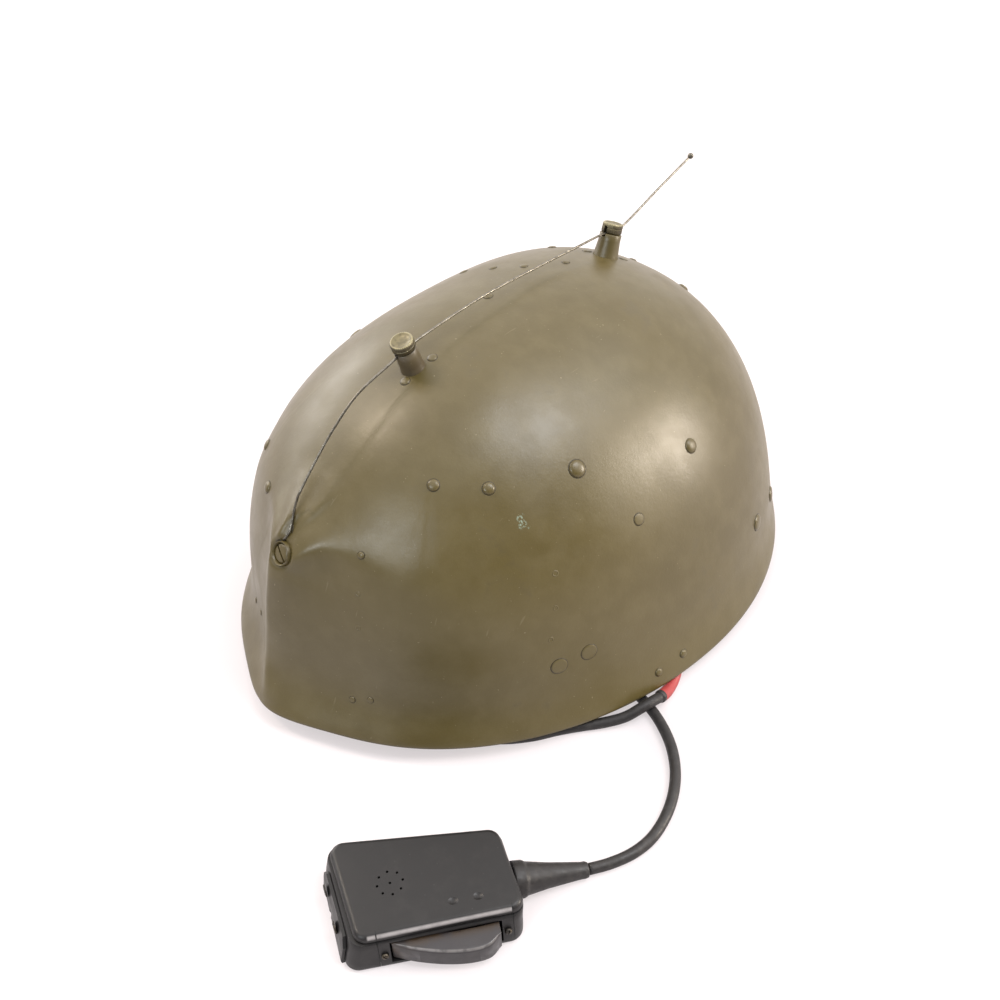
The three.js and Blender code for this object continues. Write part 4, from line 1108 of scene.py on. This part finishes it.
def paint_material(name, dark=OLIVE_DARK, light=OLIVE_LIGHT, with_marks=False):
    """Old olive paint: uneven tone, fine orange peel, dust, specks and light scratches."""
    material, tree, shader = new_material(name, (0.14, 0.12, 0.063), 0.36)
    color = layered(tree, dark, [
        (light, 11, 3, 0.3, 0.7, 1),
        (OLIVE_FADED, 90, 5, 0.35, 0.75, 0.28, 0.6),
        (SPECK, 900, 2, 0.735, 0.78, 0.4),
        (SPECK, 700, 2, 0.74, 0.78, 0.1, 0.5, (1, 0.07, 0.12), (0.5, 0.3, 0.9)),
        (GRIME, 45, 6, 0.58, 0.72, 0.35, 0.65),
    ])
    rougher = None
    if with_marks:
        chip = pale_chip(tree)
        color = blend_color(tree, chip, color, CHIP)
        rougher = times(tree, chip, 0.2)
    bumps = [(160, 3, 0.00005), (750, 3, 0.00004, 0.6)]
    wire_shader(tree, shader, color, (60, 5, 0.34, 0.43, 0.6), bumps, rougher)
    return material


def brass_material():
    """The posts' caps: dull brass with olive paint left in the knurling, painted shade on the flanks, and
    upper edges made bright by wear and painted highlight.
    """
    material, tree, shader = new_material("cap_brass", (0.15, 0.125, 0.06), 0.42, 0.3)
    color = layered(tree, BRASS, [(BRASS_PAINTED, 450, 4, 0.4, 0.65, 1)])
    up = facing_up(tree)
    # Painted shade: flanks that face away from above are darker
    color = blend_color(tree, ramp(tree, up, 0.1, 0.62, 0.75, 0), color, BRASS_FLANK_SHADE)
    # Convex edges that face up are painted bright: partly worn brass, partly painted highlight
    edge = ramp(tree, node(tree, "ShaderNodeNewGeometry", {})["Pointiness"], 0.52, 0.58, 0, 0.85)
    edge = times(tree, edge, ramp(tree, up, 0.45, 0.75))
    color = blend_color(tree, edge, color, BRASS_EDGE_WEAR_AND_HIGHLIGHT)
    wire_shader(tree, shader, color, (900, 3, 0.34, 0.5), [(1400, 4, 0.00005)])
    return material


def lip_marks(tree):
    """Shares of painted highlight and of dark seam along the lid's near edge."""
    x, inward, z = box_axes(tree)
    # Painted highlight: a pale band on the lid's rounded near edge, between the seams
    lip = times(tree, ramp(tree, z, 0.0176, 0.0188), ramp(tree, inward, 0.0001, 0.0009, 1, 0))
    ends = times(tree, ramp(tree, x, -0.0256, -0.0248), ramp(tree, x, 0.0315, 0.0319, 1, 0))
    uneven = ramp(tree, noise_value(tree, 260, 3, 0.5), 0.25, 0.65, 0.75, 1)
    lip_highlight = times(tree, times(tree, lip, ends), uneven)
    seam = 0
    for place in (SIDE_FROM, SIDE_TO):
        off = arithmetic(tree, "ABSOLUTE", arithmetic(tree, "SUBTRACT", x, place * MM))
        seam = arithmetic(tree, "MAXIMUM", ramp(tree, off, 0.00015, 0.00035, 1, 0), seam)
    return lip_highlight, times(tree, seam, ramp(tree, inward, 0.0018, 0.0024, 1, 0))


def plastic_material():
    """The case: satin black moulding with a fine grain, dust and a painted highlight along one rounded edge.
    """
    material, tree, shader = new_material("case_plastic", CASE_BLACK, 0.4, 0, 0.32)
    color = layered(tree, CASE_BLACK, [
        (CASE_DUSTY, 120, 6, 0.5, 0.75, 0.35, 0.65), (CASE_SPECK, 1100, 2, 0.74, 0.78, 0.4)])
    for share, mark in zip(lip_marks(tree), (LIP_HIGHLIGHT, LIP_SEAM)):
        color = blend_color(tree, share, color, mark)
    wire_shader(tree, shader, color, (160, 5, 0.34, 0.46), [(2600, 2, 0.000018), (110, 3, 0.00004)])
    return material


def lever_material():
    """Blackened metal worn to brown, with a painted highlight along its rounded upper edge."""
    material, tree, shader = new_material("lever_finish", (0.026, 0.024, 0.026), 0.34, 0.1, 0.45)
    up = facing_up(tree)
    # Painted highlight: the rounded band between the top and the face, made uneven by noise
    edge = times(tree, ramp(tree, up, 0.3, 0.6), ramp(tree, up, 0.8, 0.97, 1, 0))
    ridge_highlight = times(tree, edge, ramp(tree, noise_value(tree, 350, 4), 0.35, 0.6, 0.4, 1))
    inward = ramp(tree, box_axes(tree)[1], -0.006, -0.001, 0.1, 1)
    soiled = times(tree, inward, ramp(tree, noise_value(tree, 180, 5), 0.3, 0.6, 0.2, 0.9))
    color = blend_color(tree, soiled, LEVER_BLACK, LEVER_BROWN)
    color = blend_color(tree, ridge_highlight, color, LEVER_RIDGE_HIGHLIGHT)
    wire_shader(tree, shader, color, (260, 4, 0.3, 0.46), [(800, 4, 0.00003)])
    return material


# Stage

def make_camera():
    right = Vector(CAMERA_RIGHT).normalized()
    back = Vector(CAMERA_BACK).normalized()
    right = (right - back * right.dot(back)).normalized()
    camera = bpy.data.objects.new("camera", bpy.data.cameras.new("camera"))
    camera.data.lens = CAMERA_LENS
    camera.data.sensor_width = SENSOR
    camera.data.clip_start = 0.01
    axes = Matrix((right, back.cross(right), back)).transposed()
    camera.matrix_world = Matrix.Translation(CAMERA_PLACE) @ axes.to_4x4()
    bpy.context.scene.collection.objects.link(camera)
    bpy.context.scene.camera = camera


def make_floor():
    """A wide pale sheet at z = 0 that glows a little."""
    mesh = bpy.data.meshes.new("floor")
    edit(mesh, lambda bm: bmesh.ops.create_grid(bm, x_segments=1, y_segments=1, size=3))
    floor = bpy.data.objects.new("floor", mesh)
    material, _, shader = new_material("pale_floor", FLOOR_COLOR, 0.75, 0, 0.2)
    shader.inputs["Emission Color"].default_value = (*FLOOR_TINT, 1)
    shader.inputs["Emission Strength"].default_value = FLOOR_GLOW
    mesh.materials.append(material)
    bpy.context.scene.collection.objects.link(floor)


# Lights: direction from the helmet, distance, size across and along, power, colour
AIM = Vector((0.05, -0.03, 0.08))
LIGHTS = [
    ("top_window", (0.42, 0.28, 0.86), 3.2, 1.2, 1.85, 82, (0.95, 0.97, 1.0)),
    ("warm_right", (0.70, 0.66, 0.27), 3.0, 0.48, 1.05, 82, (1.0, 0.89, 0.76)),
    ("warm_left", (-0.60, -0.27, 0.75), 3.0, 0.38, 0.66, 32, (1.0, 0.84, 0.68)),
    ("front_fill", (0.15, -0.83, 0.52), 3.4, 1.5, 0.7, 54, (0.92, 0.97, 1.0)),
    ("left_window", (-0.88, -0.12, 0.265), 3.2, 2.4, 1.15, 49, (1.0, 0.96, 0.92)),
]
FLOOR_COLOR = (0.28, 0.263, 0.266)
FLOOR_GLOW = 0.54
FLOOR_TINT = (1.0, 0.94, 0.95)
SKY_COLOR = (1.0, 0.965, 0.945)
SKY_LOW = 0.26
SKY_HIGH = 2.1
BRIGHT_SIDE = (-0.42, 0.52, 0.74)


def make_lights():
    for name, direction, distance, across, along, power, color in LIGHTS:
        data = bpy.data.lights.new(name, "AREA")
        data.shape = "RECTANGLE"
        data.size = across
        data.size_y = along
        data.energy = power
        data.color = color
        light = bpy.data.objects.new(name, data)
        towards = Vector(direction).normalized()
        light.location = AIM + towards * distance
        light.rotation_euler = towards.to_track_quat("Z", "Y").to_euler()
        bpy.context.scene.collection.objects.link(light)
    make_sky()
    bpy.context.scene.view_settings.view_transform = "Standard"


def make_sky():
    """A soft white room, brightest above and behind."""
    world = bpy.data.worlds.new("world")
    world.use_nodes = True
    tree = world.node_tree
    sky = tree.nodes["Background"]
    sky.inputs["Color"].default_value = (*SKY_COLOR, 1)
    direction = node(tree, "ShaderNodeTexCoord", {})["Generated"]
    inputs = {0: direction, 1: Vector(BRIGHT_SIDE).normalized()}
    aside = node(tree, "ShaderNodeVectorMath", inputs, operation="DOT_PRODUCT")["Value"]
    tree.links.new(ramp(tree, aside, -0.2, 0.95, SKY_LOW, SKY_HIGH), sky.inputs["Strength"])
    bpy.context.scene.world = world


make_camera()
paint = paint_material("olive_paint", with_marks=True)
# A dark material for painted shade: rings round rivets, the creases and the gap under the brow screw
shade_dark = rubber_material("seat_grime", (0.026, 0.02, 0.009), (0.05, 0.038, 0.018))
steel = metal_material("dull_steel", (0.14, 0.136, 0.124), (0.1, 0.096, 0.086), 0.32)
dark_steel = metal_material("screw_steel", (0.03, 0.027, 0.024), (0.085, 0.07, 0.052), 0.4)
rubber = rubber_material("cable_rubber", (0.017, 0.0155, 0.0155), (0.05, 0.045, 0.042))
plastic = plastic_material()
make_cable(rubber, sleeve_material(), steel)
make_shell(paint)
make_rivets(paint, shade_dark)
make_brow_screw(paint, shade_dark)
make_creases(shade_dark)
make_posts([paint_material("stem_paint", STEM_DARK, STEM_LIGHT), paint], brass_material())
make_antenna(metal_material("wire_steel", (0.145, 0.133, 0.111), (0.092, 0.083, 0.066), 0.3))
make_housing(plastic)
make_lid(plastic)
make_lever_plate(plastic)
make_lever(lever_material())
make_box_screws(dark_steel)
for name, material in (("cable_clamp", steel), ("end_plate", plastic), ("lever_pin", steel)):
    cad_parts[name].material_slots[0].material = material
make_floor()
make_lights()
